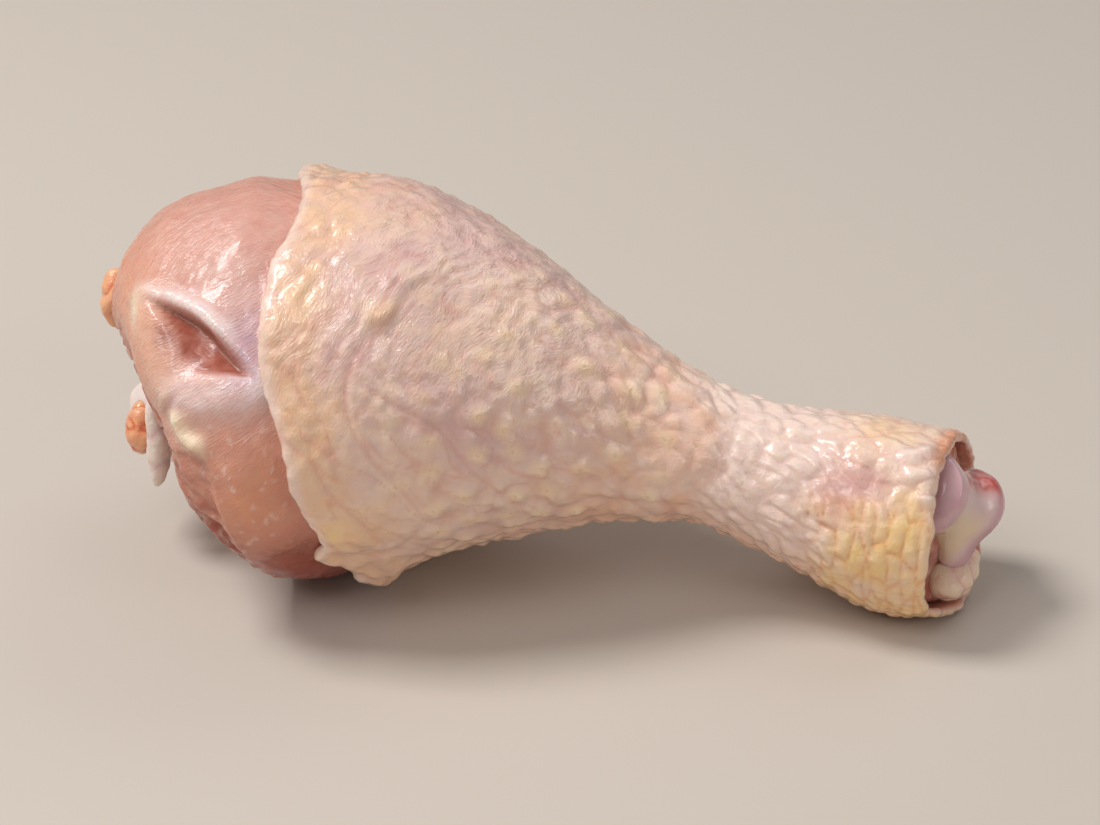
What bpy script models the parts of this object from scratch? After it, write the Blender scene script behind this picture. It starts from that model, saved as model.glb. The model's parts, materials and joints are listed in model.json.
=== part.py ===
"""A raw chicken drumstick on its side: muscle, skin, shin bone, knee ligament, knee fat and ankle tendon.

The leg runs along X, from the cut knee joint at -X to the ankle knuckles at +X. +Z is up and +Y is the far
side. The origin lies on the table, under the middle of the leg. Lengths below are in millimetres. Along the
leg they are counted from the knee end, and angles round the leg are in degrees: 0 faces the front (-Y),
90 the top, 180 the back and 270 the table.
"""
import math

import bmesh
import bpy
import numpy as np
from mathutils import Vector

MM = 0.001
LEG_LENGTH = 135.0
HALF_LENGTH = LEG_LENGTH / 2
GAP = 0.35                      # clearance between pieces that lie against each other
UNDER_SKIN_GAP = 0.5            # clearance between the muscle and the skin over it
SKIN_THICKNESS = 1.7

# The leg's outside: distance from the knee end, height of the middle, radius.
BULB = (30.0, 29.6, 30.6)       # the thickest part of the calf
PROFILE = (
    BULB,
    (45.0, 31.0, 29.2),
    (60.0, 30.4, 23.5),
    (75.0, 27.8, 16.1),
    (90.0, 23.3, 10.9),         # the shank, where the leg is thinnest
    (105.0, 18.2, 11.9),
    (120.0, 14.5, 14.7),        # the ankle
    (130.0, 14.0, 13.8),
)

# The knee joint's cut face: a plane that trims the round end of the bulb.
KNEE_FACE_NORMAL = Vector((-0.84, -0.20, -0.53)).normalized()
KNEE_FACE_FROM_BULB = 19.9
KNEE_FACE_EDGE = 2.2            # how softly the muscle rounds into the face

# Where the skin ends at the knee: angle round the leg, distance from the knee end.
SKIN_EDGE = ((-90.0, 43.0), (-50.0, 43.5), (-32.0, 39.0), (-15.0, 37.5), (5.0, 35.8), (30.0, 31.6),
             (60.0, 31.0), (90.0, 31.0), (140.0, 27.0), (200.0, 26.0), (245.0, 36.0), (270.0, 43.0))
# Where it ends at the ankle: further out at the back and underneath.
SKIN_END = ((-90.0, 127.8), (-50.0, 126.0), (0.0, 124.9), (45.0, 124.7), (90.0, 127.2), (135.0, 129.6),
            (180.0, 131.2), (225.0, 132.0), (270.0, 127.8))
MUSCLE_START = 0.4              # the first ring round the muscle
DIP_LENGTH = 2.8                # over how long the muscle dips to go under the skin
MUSCLE_SHORT = 5.0              # how far inside the skin's end the muscle ends
MUSCLE_DOME = 2.4               # how far its end bulges

# The shin bone's middle line: distance from the knee end, sideways, height, and its radius there.
BONE_LINE = (
    (5.0, 2.8, 19.3, 4.6),
    (7.0, 2.7, 19.4, 7.4),
    (11.5, 2.4, 19.6, 8.8),
    (17.5, 1.9, 20.6, 6.8),
    (25.0, 1.4, 21.6, 4.4),
    (38.0, 1.0, 22.4, 3.7),
    (60.0, 0.6, 22.8, 3.5),
    (88.0, 0.2, 21.6, 3.5),
    (106.0, 0.0, 19.0, 4.0),
    (117.0, -0.4, 18.6, 5.0),
    (125.0, -0.5, 18.6, 5.2),
)
# The ankle's pulley: two knuckles side by side on a slanting axis.
PULLEY_CENTRE = Vector((127.3, -0.4, 18.7))
PULLEY_AXIS = Vector((0.48, 0.62, -0.62)).normalized()
KNUCKLE_APART = 8.8
KNUCKLE_RADIUS = 6.3
KNUCKLE_THICKNESS = 5.0

# Small lumps: centre, half-sizes, and how far their surface waves in and out.
ANKLE_TENDON = ((127.6, 0.6, 6.0), (4.4, 6.8, 3.6), 0.06)
KNEE_LIGAMENT = ((9.2, -6.0, 19.6), (2.2, 2.6, 7.0), 0.10)
UPPER_KNEE_FAT = ((3.25, -1.0, 42.0), (2.9, 4.0, 5.0), 0.12)
LOWER_KNEE_FAT = ((4.6, -0.5, 18.8), (2.4, 3.4, 4.2), 0.10)

ROUND = 38                      # points round the muscle and the skin
BONE_ROUND = 14                 # points round the bone


def reset_scene():
    """Empties the scene."""
    for thing in list(bpy.data.objects):
        bpy.data.objects.remove(thing, do_unlink=True)


def smooth_curve(points, at):
    """A cubic curve through (place, value) points with the slope of each point's neighbours."""
    place, value = (np.array(column, float) for column in zip(*points))
    slope = np.gradient(value, place)
    at = np.clip(np.asarray(at, float), place[0], place[-1])
    left = np.clip(np.searchsorted(place, at, side="right") - 1, 0, len(place) - 2)
    width = place[left + 1] - place[left]
    t = (at - place[left]) / width
    return (value[left] * (1 + 2 * t) * (1 - t) ** 2 + value[left + 1] * t * t * (3 - 2 * t)
            + width * (slope[left] * t * (1 - t) ** 2 + slope[left + 1] * t * t * (t - 1)))


def smooth_step(value, low, high):
    """0 below low, 1 above high, and an S-curve between."""
    t = np.clip((value - low) / (high - low), 0.0, 1.0)
    return t * t * (3 - 2 * t)


def middle_height(along):
    """Height of the leg's middle line."""
    return smooth_curve([(x, z) for x, z, _ in PROFILE], along)


def leg_radius(along):
    """Radius of the leg's outside, rounded off over the knee end."""
    full = smooth_curve([(x, r) for x, _, r in PROFILE], along)
    into_cap = np.clip((BULB[0] - along) / BULB[0], 0.0, 1.0)
    return full * np.sqrt(1.0 - into_cap ** 2)


def mound(along, angle, centre, size, turn=0.0):
    """A bell-shaped patch on the leg: 1 at its centre, near 0 past its size along and round the leg."""
    arc = np.radians((angle - centre[1] + 180.0) % 360.0 - 180.0) * np.maximum(leg_radius(along), 1.0)
    ahead = along - centre[0]
    c, s = math.cos(math.radians(turn)), math.sin(math.radians(turn))
    across = (ahead * c + arc * s) / size[0]
    around = (arc * c - ahead * s) / size[1]
    return np.exp(-2.0 * (across ** 2 + around ** 2))


def from_below(angle):
    """The same angle, counted from -90 degrees up to 270."""
    return (np.asarray(angle, float) + 90.0) % 360.0 - 90.0


def skin_edge_at(angle):
    """Distance from the knee end at which the skin starts, at an angle round the leg."""
    return smooth_curve(SKIN_EDGE, from_below(angle))


def skin_end_at(angle):
    """Distance from the knee end at which the skin ends at the ankle."""
    return smooth_curve(SKIN_END, from_below(angle))


def outside_point(along, angle, depth):
    """A point that deep under the leg's outside."""
    turn = np.radians(angle)
    radius = np.maximum(leg_radius(along) - depth, 0.0)
    height = middle_height(along) + radius * np.sin(turn)
    return np.stack([along + 0 * turn, -radius * np.cos(turn), height], -1)


def rest_on_table(points, lowest=0.0):
    """Flattens what would reach lower than the table, or than a height above it."""
    height = np.maximum(points[..., 2], lowest)
    return np.stack([points[..., 0], points[..., 1], height], -1)


def skin_relief(along, angle):
    """How far the skin's large folds and lumps stand out."""
    folds = 0.3 * np.sin(np.radians(5 * angle) + along * 0.12) * smooth_step(along, 70.0, 92.0)
    collar = 0.4 * np.sin(np.radians(7 * angle + 40.0)) * smooth_step(along, 116.0, 124.0)
    crease = -0.7 * mound(along, angle, (93.0, 10.0), (3.0, 14.0))
    knot = 1.6 * mound(along, angle, (121.5, 66.0), (7.0, 9.0))
    thick_edge = 0.9 * mound(along, angle, (36.0, 84.0), (9.0, 40.0))
    hanging_fat = 1.6 * mound(along, angle, (46.5, -54.0), (6.0, 7.0))
    return folds + collar + crease + knot + thick_edge + hanging_fat


def muscle_relief(along, angle):
    """How far the bare muscle's lobes and hollows stand out."""
    hollow = -3.2 * mound(along, angle, (22.6, 35.0), (8.6, 5.0), turn=-28.0)
    arch = 0.9 * mound(along, angle, (22.0, 49.0), (10.0, 3.0), turn=-32.0)
    shoulder = 0.7 * mound(along, angle, (25.0, 22.0), (9.0, 2.6))
    lower_lobe = 0.8 * mound(along, angle, (31.0, -8.0), (8.0, 14.0))
    torn_cut = -2.4 * mound(along, angle, (19.5, -4.0), (3.8, 11.0), turn=-12.0)
    dome = 1.7 * mound(along, angle, (11.0, 92.0), (11.0, 40.0))
    return hollow + arch + shoulder + lower_lobe + torn_cut + dome


def trim_to_knee_face(points):
    """Pulls what lies beyond the knee joint's cut face back onto it, with a rounded edge."""
    normal = np.array(KNEE_FACE_NORMAL)
    centre = np.array([BULB[0], 0.0, BULB[1]])
    beyond = (points - centre) @ normal - KNEE_FACE_FROM_BULB
    excess = KNEE_FACE_EDGE * np.logaddexp(0.0, beyond / KNEE_FACE_EDGE)
    return points - excess[..., None] * normal


def swell_rings(rings, distance):
    """Rings of points moved outwards along their surface's normals, and the end rings outwards along X."""
    grid = np.array(rings)
    along = np.gradient(grid, axis=0)
    around = np.roll(grid, -1, axis=1) - np.roll(grid, 1, axis=1)
    normal = np.cross(around, along)
    normal /= np.linalg.norm(normal, axis=-1, keepdims=True)
    outwards = np.sign(np.sum(normal * (grid - grid.mean(axis=1, keepdims=True))))
    swollen = grid + distance * outwards * normal
    swollen[0, :, 0] -= distance
    swollen[-1, :, 0] += distance
    return swollen


def to_world(points):
    """Millimetres from the knee end to metres from the origin."""
    return (np.asarray(points, float) - [HALF_LENGTH, 0.0, 0.0]) * MM


def add_object(name, shape, look):
    """Makes a smooth-shaded object from a bmesh and gives it its material."""
    bmesh.ops.recalc_face_normals(shape, faces=shape.faces)
    mesh = bpy.data.meshes.new(name)
    shape.to_mesh(mesh)
    shape.free()
    mesh.materials.append(look)
    mesh.shade_smooth()
    made = bpy.data.objects.new(name, mesh)
    bpy.context.scene.collection.objects.link(made)
    return made


def tube(rings):
    """Joins rings of points side by side, with a fan of triangles over each end."""
    shape = bmesh.new()
    rows = [[shape.verts.new(p) for p in to_world(ring)] for ring in rings]
    for near, far in zip(rows, rows[1:]):
        for i, corner in enumerate(near):
            j = (i + 1) % len(near)
            shape.faces.new((corner, far[i], far[j], near[j]))
    for row in (rows[0], rows[-1]):
        tip = shape.verts.new(sum((v.co for v in row), Vector()) / len(row))
        for i, corner in enumerate(row):
            shape.faces.new((tip, corner, row[(i + 1) % len(row)]))
    return shape


def sleeve(rings):
    """Joins rings of points side by side and the last to the first, like a bent tyre."""
    shape = bmesh.new()
    rows = [[shape.verts.new(p) for p in to_world(ring)] for ring in rings]
    for near, far in zip(rows, rows[1:] + rows[:1]):
        for i, corner in enumerate(near):
            j = (i + 1) % len(near)
            shape.faces.new((corner, far[i], far[j], near[j]))
    return shape


def lump(centre, size, wave):
    """A small rounded lump with the given half-sizes and a slightly wavy surface."""
    shape = bmesh.new()
    bmesh.ops.create_uvsphere(shape, u_segments=12, v_segments=8, radius=1.0)
    for v in shape.verts:
        swing = 1.0 + wave * math.sin(5 * v.co.x + 3 * v.co.y) * math.cos(4 * v.co.z)
        point = Vector(a + b * c * swing for a, b, c in zip(centre, v.co, size))
        v.co = (point - Vector((HALF_LENGTH, 0.0, 0.0))) * MM
    return shape


def knuckle(side, swell=0.0):
    """One wheel of the ankle's pulley: a thick disc with a round rim, on the near (-1) or far (+1) side."""
    shape = bmesh.new()
    bmesh.ops.create_uvsphere(shape, u_segments=18, v_segments=10, radius=1.0)
    turn = PULLEY_AXIS.to_track_quat("Z", "X").to_matrix()
    centre = PULLEY_CENTRE + PULLEY_AXIS * side * KNUCKLE_APART / 2
    size = Vector((KNUCKLE_RADIUS + swell, KNUCKLE_RADIUS + swell, KNUCKLE_THICKNESS / 2 + swell))
    for v in shape.verts:
        point = turn @ Vector(a * b for a, b in zip(v.co, size)) + centre
        v.co = (point - Vector((HALF_LENGTH, 0.0, 0.0))) * MM
    return shape


def bone_rings():
    """Rings round the bone's middle line, rounded over at the knee head."""
    line = np.array(BONE_LINE)
    place = np.arange(len(line))
    step = np.linspace(0, len(line) - 1, 2 * len(line))
    x, y, z, radius = (smooth_curve(list(zip(place, line[:, k])), step) for k in range(4))
    turn = np.arange(BONE_ROUND) * 2 * math.pi / BONE_ROUND
    rings = np.zeros((len(step), BONE_ROUND, 3))
    rings[..., 0] = x[:, None]
    rings[..., 1] = y[:, None] - radius[:, None] * np.cos(turn)
    rings[..., 2] = z[:, None] + radius[:, None] * np.sin(turn)
    return rings


def walk_from_knee(distance):
    """Distance from the knee end, along X, after walking so far over the round end and on down the calf."""
    quarter = BULB[0] * math.pi / 2
    over = BULB[0] * (1 - np.cos(np.minimum(distance, quarter) / BULB[0]))
    return over + np.maximum(distance - quarter, 0.0)


def walk_to(along):
    """How far one walks over the round end and down the calf to get that far along X."""
    quarter = BULB[0] * np.arccos(np.clip(1 - along / BULB[0], 0.0, 1.0))
    return quarter + np.maximum(along - BULB[0], 0.0)


def muscle_rings():
    """Rings round the muscle: trimmed knee end, bare calf, the length inside the skin, ankle end."""
    angle = np.arange(ROUND) * 360.0 / ROUND
    bare_end = skin_edge_at(angle) - DIP_LENGTH
    end = skin_end_at(angle) - MUSCLE_SHORT
    first, last = walk_to(MUSCLE_START), walk_to(bare_end)
    stations = [walk_from_knee(first + (last - first) * share) for share in np.linspace(0.0, 1.0, 17)]
    stations += [bare_end + DIP_LENGTH * 0.8 * share for share in (0.35, 0.65, 1.0)]
    stations += [stations[-1] + (end - stations[-1]) * share for share in np.linspace(0.0, 1.0, 21)[1:]]
    rings = []
    for along in stations:
        under = smooth_step(along - bare_end, 0.0, DIP_LENGTH * 0.8)
        depth = under * (SKIN_THICKNESS + UNDER_SKIN_GAP) - muscle_relief(along, angle) * (1 - under)
        trimmed = trim_to_knee_face(outside_point(along, angle, depth))
        rings.append(rest_on_table(trimmed, under * (SKIN_THICKNESS + UNDER_SKIN_GAP)))
    rim = rings[-1]
    middle = rim.mean(axis=0)
    for turn in np.radians((25.0, 50.0, 72.0)):
        ring = middle + (rim - middle) * math.cos(turn)
        ring[:, 0] += MUSCLE_DOME * math.sin(turn)
        rings.append(ring)
    return rings


def skin_rings():
    """Rings round the skin's outside from knee to ankle, then back along its inside."""
    angle = np.arange(ROUND) * 360.0 / ROUND
    start, end = skin_edge_at(angle), skin_end_at(angle)
    rings = []
    for share in np.linspace(0.0, 1.0, 30):
        along = start + (end - start) * share
        rim = 0.5 * SKIN_THICKNESS * (math.exp(-share * 90.0) + math.exp(-(1 - share) * 90.0))
        relief = skin_relief(along, angle) * math.sin(math.pi * share) ** 0.3
        rings.append(rest_on_table(outside_point(along, angle, rim - relief)))
    for share in np.linspace(1.0, 0.0, 17):
        along = start + (end - start) * share
        rings.append(rest_on_table(outside_point(along, angle, SKIN_THICKNESS), SKIN_THICKNESS))
    return rings


def hide(helper):
    """Marks an object as a helper that isn't part of the leg."""
    helper.hide_render = True
    helper.display_type = "WIRE"
    return helper


def combine(target, helper, operation):
    """Adds a helper's volume to the target or cuts it out."""
    step = target.modifiers.new(helper.name, "BOOLEAN")
    step.operation = operation
    step.solver = "EXACT"
    step.object = helper


def finish(name, colour, roughness, coat=0.0):
    """A plain moist finish."""
    made = bpy.data.materials.new(name)
    made.use_nodes = True
    shader = made.node_tree.nodes["Principled BSDF"]
    shader.inputs["Base Color"].default_value = (*colour, 1.0)
    shader.inputs["Roughness"].default_value = roughness
    shader.inputs["Metallic"].default_value = 0.0
    shader.inputs["Coat Weight"].default_value = coat
    return made


def build_bone(look):
    """The shin bone: knee head, shaft and the two ankle knuckles, as one solid."""
    bone = add_object("bone", tube(bone_rings()), look)
    for name, side in (("near_knuckle", -1), ("far_knuckle", 1)):
        combine(bone, hide(add_object(name, knuckle(side), look)), "UNION")
    return bone


def build_bone_room(look):
    """Helpers that clear the bone's volume, with the gap all round it, out of another piece."""
    channel = hide(add_object("bone_channel", tube(swell_rings(bone_rings(), GAP)), look))
    rooms = [hide(add_object(f"{name}_room", knuckle(side, GAP), look))
             for name, side in (("near_knuckle", -1), ("far_knuckle", 1))]
    return [channel, *rooms]


def main():
    """Builds every piece of the drumstick."""
    reset_scene()
    flesh = finish("muscle", (0.72, 0.33, 0.25), 0.28, coat=0.5)
    hide_look = finish("skin", (0.78, 0.56, 0.42), 0.38, coat=0.3)
    gristle = finish("cartilage", (0.60, 0.44, 0.47), 0.18, coat=0.6)
    sinew = finish("tendon", (0.80, 0.68, 0.60), 0.25, coat=0.4)
    fat = finish("fat", (0.80, 0.42, 0.22), 0.35, coat=0.4)

    build_bone(gristle)
    bone_room = build_bone_room(gristle)
    muscle = add_object("muscle", tube(muscle_rings()), flesh)
    muscle_room = hide(add_object("muscle_room", tube(swell_rings(muscle_rings(), GAP)), flesh))
    skin = add_object("skin", sleeve(skin_rings()), hide_look)
    for cutter in bone_room:
        combine(muscle, cutter, "DIFFERENCE")
        combine(skin, cutter, "DIFFERENCE")
    small_pieces = (
        ("ankle_tendon", ANKLE_TENDON, sinew),
        ("knee_ligament", KNEE_LIGAMENT, sinew),
        ("knee_fat_upper", UPPER_KNEE_FAT, fat),
        ("knee_fat_lower", LOWER_KNEE_FAT, fat),
    )
    for name, form, look in small_pieces:
        piece = add_object(name, lump(*form), look)
        for cutter in (muscle_room, *bone_room):
            combine(piece, cutter, "DIFFERENCE")


main()
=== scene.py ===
"""Looks of a raw chicken drumstick: moist skin, bare calf muscle, knee gristle and ankle knuckles.

The leg lies along X, knee end at -X. Shapes are worked out in leg millimetres: `along` is the distance from
the knee end, and `turn` is the angle round the leg in degrees, 0 at the front (-Y), 90 on top, 180 at the
back and -90 on the table. `Placing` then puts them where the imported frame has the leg.
"""
from __future__ import annotations

import json
import logging
import math
from dataclasses import dataclass, field
from enum import Enum
from typing import Any, Callable, Sequence

import bpy
import numpy as np
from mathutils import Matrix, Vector
from numpy.typing import NDArray

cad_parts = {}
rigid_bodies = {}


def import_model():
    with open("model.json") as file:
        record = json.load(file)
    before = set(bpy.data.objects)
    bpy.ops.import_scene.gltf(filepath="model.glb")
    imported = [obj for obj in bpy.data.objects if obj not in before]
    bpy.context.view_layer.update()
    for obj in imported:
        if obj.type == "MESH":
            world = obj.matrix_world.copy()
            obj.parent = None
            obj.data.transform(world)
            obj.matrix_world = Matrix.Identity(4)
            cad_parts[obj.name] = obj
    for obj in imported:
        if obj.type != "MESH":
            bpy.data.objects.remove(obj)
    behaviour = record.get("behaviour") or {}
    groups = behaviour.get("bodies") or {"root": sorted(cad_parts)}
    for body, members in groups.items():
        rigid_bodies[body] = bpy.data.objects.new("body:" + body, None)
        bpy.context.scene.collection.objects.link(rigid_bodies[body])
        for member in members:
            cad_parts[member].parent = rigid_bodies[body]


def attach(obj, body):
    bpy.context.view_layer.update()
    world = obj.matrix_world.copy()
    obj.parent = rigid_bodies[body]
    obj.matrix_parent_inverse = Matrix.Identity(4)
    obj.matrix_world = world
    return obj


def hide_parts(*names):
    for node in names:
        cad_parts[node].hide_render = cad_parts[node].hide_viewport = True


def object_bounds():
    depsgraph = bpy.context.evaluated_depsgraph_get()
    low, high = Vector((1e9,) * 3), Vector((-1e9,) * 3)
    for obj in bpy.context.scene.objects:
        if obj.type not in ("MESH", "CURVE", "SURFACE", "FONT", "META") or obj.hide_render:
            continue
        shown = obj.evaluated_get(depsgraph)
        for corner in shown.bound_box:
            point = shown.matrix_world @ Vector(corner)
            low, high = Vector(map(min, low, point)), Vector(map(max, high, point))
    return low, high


for leftover in list(bpy.data.objects):
    bpy.data.objects.remove(leftover, do_unlink=True)
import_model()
CAD_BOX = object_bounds()

log = logging.getLogger("drumstick")
Array = NDArray[np.float64]
Colour = tuple[float, float, float]
BODY = "root"
MILLIMETRES_PER_METRE = 1000.0
FLESH_IOR = 1.42
JUICE_IOR = 1.4
PORE_DEPTH = 0.09


# ---------------------------------------------------------------------------------------- arithmetic


def smooth_curve(points: Sequence[Sequence[float]], at: Array) -> Array:
    """A cubic through (place, value) points, each with the slope of its neighbours.

    Args:
        points: Pairs of place and value, in rising order of place.
        at: Places to read the curve at; beyond the ends it keeps the end values.

    Returns:
        The curve's value at each place: the Hermite blend of the two nearest points.
    """
    place, value = (np.array(column, float) for column in zip(*points))
    slope = np.gradient(value, place)
    at = np.clip(np.asarray(at, float), place[0], place[-1])
    left = np.clip(np.searchsorted(place, at, side="right") - 1, 0, len(place) - 2)
    width = place[left + 1] - place[left]
    t = (at - place[left]) / width
    rise = value[left] * (1 + 2 * t) * (1 - t) ** 2 + value[left + 1] * t * t * (3 - 2 * t)
    return rise + width * (slope[left] * t * (1 - t) ** 2 + slope[left + 1] * t * t * (t - 1))


def smooth_step(value: Array | float, low: float, high: float) -> Array:
    """0 below low, 1 above high, and the cubic 3t^2 - 2t^3 between."""
    t = np.clip((np.asarray(value, float) - low) / (high - low), 0.0, 1.0)
    return t * t * (3 - 2 * t)


def bell(distance: Array, width: float) -> Array:
    """1 at distance 0, falling as exp(-(distance / width)^2)."""
    return np.exp(-((distance / width) ** 2))


def from_below(turn: Array) -> Array:
    """The same angle, counted from -90 degrees up to 270."""
    return (np.asarray(turn, float) + 90.0) % 360.0 - 90.0


def either_side(turn: Array) -> Array:
    """The same angle, counted from -180 degrees up to 180."""
    return (turn + 180.0) % 360.0 - 180.0


def cell_bits(cell: Array, seed: int) -> NDArray[np.uint32]:
    """A repeatable 32-bit number for each whole-number cell.

    Args:
        cell: Whole numbers; the last axis holds three of them.
        seed: Chooses another set of numbers.

    Returns:
        The three numbers multiplied by odd constants, joined by exclusive or, and stirred by shifts.
    """
    c = cell.astype(np.int64).astype(np.uint32)
    mixed = c[..., 0] * np.uint32(0x9E3779B1) ^ c[..., 1] * np.uint32(0x85EBCA77)
    mixed = mixed ^ (c[..., 2] * np.uint32(0xC2B2AE3D)) ^ np.uint32((seed * 0x27D4EB2F) & 0xFFFFFFFF)
    for shift, factor in ((15, 0x2C1B3C6D), (12, 0x297A2D39)):
        mixed = (mixed ^ (mixed >> np.uint32(shift))) * np.uint32(factor)
    return mixed ^ (mixed >> np.uint32(15))


def bit_share(bits: NDArray[np.uint32], part: int) -> Array:
    """Ten of the bits (part 0, 1 or 2) as a number from 0 to 1."""
    return ((bits >> np.uint32(10 * part)) & np.uint32(1023)) / 1023.0


def waves(points: Array, size: float | Sequence[float], seed: int) -> Array:
    """Smooth random waves: gradient noise on a cubic lattice.

    Each lattice corner has a random slope; a point takes the eight slopes' heights round it, blended with
    the quintic 6t^5 - 15t^4 + 10t^3.

    Args:
        points: Places, with three numbers on the last axis.
        size: The lattice spacing, one number or one per axis.
        seed: Chooses another pattern.

    Returns:
        Heights of about -1 to 1.
    """
    q = points / np.asarray(size, float)
    cell = np.floor(q)
    part = q - cell
    ease = part ** 3 * (part * (part * 6 - 15) + 10)
    total = np.zeros(q.shape[:-1])
    for corner in range(8):
        step = np.array([(corner >> axis) & 1 for axis in range(3)], float)
        bits = cell_bits(cell + step, seed)
        slopes = np.stack([bit_share(bits, axis) * 2 - 1 for axis in range(3)], -1)
        weight = np.prod(np.where(step > 0, ease, 1 - ease), axis=-1)
        total += weight * np.sum(slopes * (part - step), axis=-1)
    return total * 1.9


def layered_waves(points: Array, size: float, seed: int, layers: int = 3) -> Array:
    """Waves with finer waves on them, each layer half as large and half as high as the one before."""
    return sum(waves(points, size / 2 ** k, seed + k) / 2 ** k for k in range(layers))


# ------------------------------------------------------------------------------------ the leg's form


@dataclass(frozen=True)
class LegForm:
    """The leg's outside: a round tube whose middle line and radius change along it, in millimetres."""

    length: float = 135.0
    profile: tuple[tuple[float, float, float], ...] = (
        (30.0, 29.6, 30.6), (45.0, 31.0, 29.2), (60.0, 30.4, 23.5), (75.0, 27.8, 16.1),
        (90.0, 23.3, 10.9), (105.0, 18.2, 11.9), (120.0, 14.5, 14.7), (130.0, 14.0, 13.8))
    skin_edge: tuple[tuple[float, float], ...] = (
        (-90.0, 43.0), (-50.0, 42.9), (-43.0, 41.8), (-37.0, 39.7), (-32.0, 37.4), (-27.0, 39.2),
        (-15.0, 37.8), (-8.0, 36.4), (4.0, 35.9), (15.0, 34.1), (30.0, 31.8), (45.0, 30.7), (60.0, 31.1),
        (75.0, 32.0), (90.0, 31.2), (106.0, 28.8), (140.0, 27.0), (200.0, 26.0), (245.0, 36.0),
        (270.0, 43.0))
    skin_end: tuple[tuple[float, float], ...] = (
        (-90.0, 131.5), (-75.0, 130.2), (-63.0, 128.3), (-50.0, 126.6), (-30.0, 125.6), (0.0, 125.2),
        (20.0, 125.4), (45.0, 125.6), (65.0, 125.9), (90.0, 127.2), (135.0, 129.6),
        (180.0, 131.2), (225.0, 132.6), (270.0, 131.5))
    face_normal: tuple[float, float, float] = (-0.84, -0.20, -0.53)
    face_from_bulb: float = 17.8
    face_edge: float = 1.7

    def middle(self, along: Array) -> Array:
        """Height of the leg's middle line."""
        return smooth_curve([(x, z) for x, z, _ in self.profile], along)

    def radius(self, along: Array) -> Array:
        """Radius of the outside; over the knee end it follows a half ellipse down to 0."""
        bulb = self.profile[0][0]
        full = smooth_curve([(x, r) for x, _, r in self.profile], along)
        into_cap = np.clip((bulb - np.asarray(along, float)) / bulb, 0.0, 1.0)
        return full * np.sqrt(1.0 - into_cap ** 2)

    def point(self, along: Array, turn: Array, depth: Array | float = 0.0) -> Array:
        """Points that deep under the outside: a circle round the middle line, at right angles to X."""
        angle = np.radians(turn)
        radius = np.maximum(self.radius(along) - depth, 0.0)
        along = np.asarray(along, float) + 0.0 * radius
        return np.stack([along, -radius * np.cos(angle), self.middle(along) + radius * np.sin(angle)], -1)

    def edge_at(self, turn: Array) -> Array:
        """Distance from the knee end at which the skin starts."""
        return smooth_curve(self.skin_edge, from_below(turn))

    def end_at(self, turn: Array) -> Array:
        """Distance from the knee end at which the skin ends at the ankle."""
        return smooth_curve(self.skin_end, from_below(turn))

    def walk_from_knee(self, distance: Array) -> Array:
        """`along` after walking so far over the round knee end and on down the calf."""
        bulb = self.profile[0][0]
        quarter = bulb * math.pi / 2
        over = bulb * (1 - np.cos(np.minimum(distance, quarter) / bulb))
        return over + np.maximum(distance - quarter, 0.0)

    def walk_to(self, along: Array) -> Array:
        """How far one walks over the round end and down the calf to get that far along."""
        bulb = self.profile[0][0]
        quarter = bulb * np.arccos(np.clip(1 - np.asarray(along, float) / bulb, 0.0, 1.0))
        return quarter + np.maximum(along - bulb, 0.0)

    def beyond_face(self, points: Array) -> Array:
        """How far points lie beyond the knee joint's cut face."""
        normal = np.array(self.face_normal) / np.linalg.norm(self.face_normal)
        centre = np.array([self.profile[0][0], 0.0, self.profile[0][1]])
        return (points - centre) @ normal - self.face_from_bulb

    def trim_to_face(self, points: Array) -> Array:
        """Pulls what lies beyond the cut face back onto it.

        The pull is edge * ln(1 + exp(beyond / edge)) along the face's normal, which rounds the corner.

        Args:
            points: Places in leg millimetres.

        Returns:
            The places after the pull.
        """
        normal = np.array(self.face_normal) / np.linalg.norm(self.face_normal)
        pull = self.face_edge * np.logaddexp(0.0, self.beyond_face(points) / self.face_edge)
        return points - pull[..., None] * normal


@dataclass(frozen=True)
class Cells:
    """The nearest of many scattered spots: distances to the first and second, and the first's own."""

    near: Array
    second: Array
    offset: Array
    draw: Array


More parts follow.
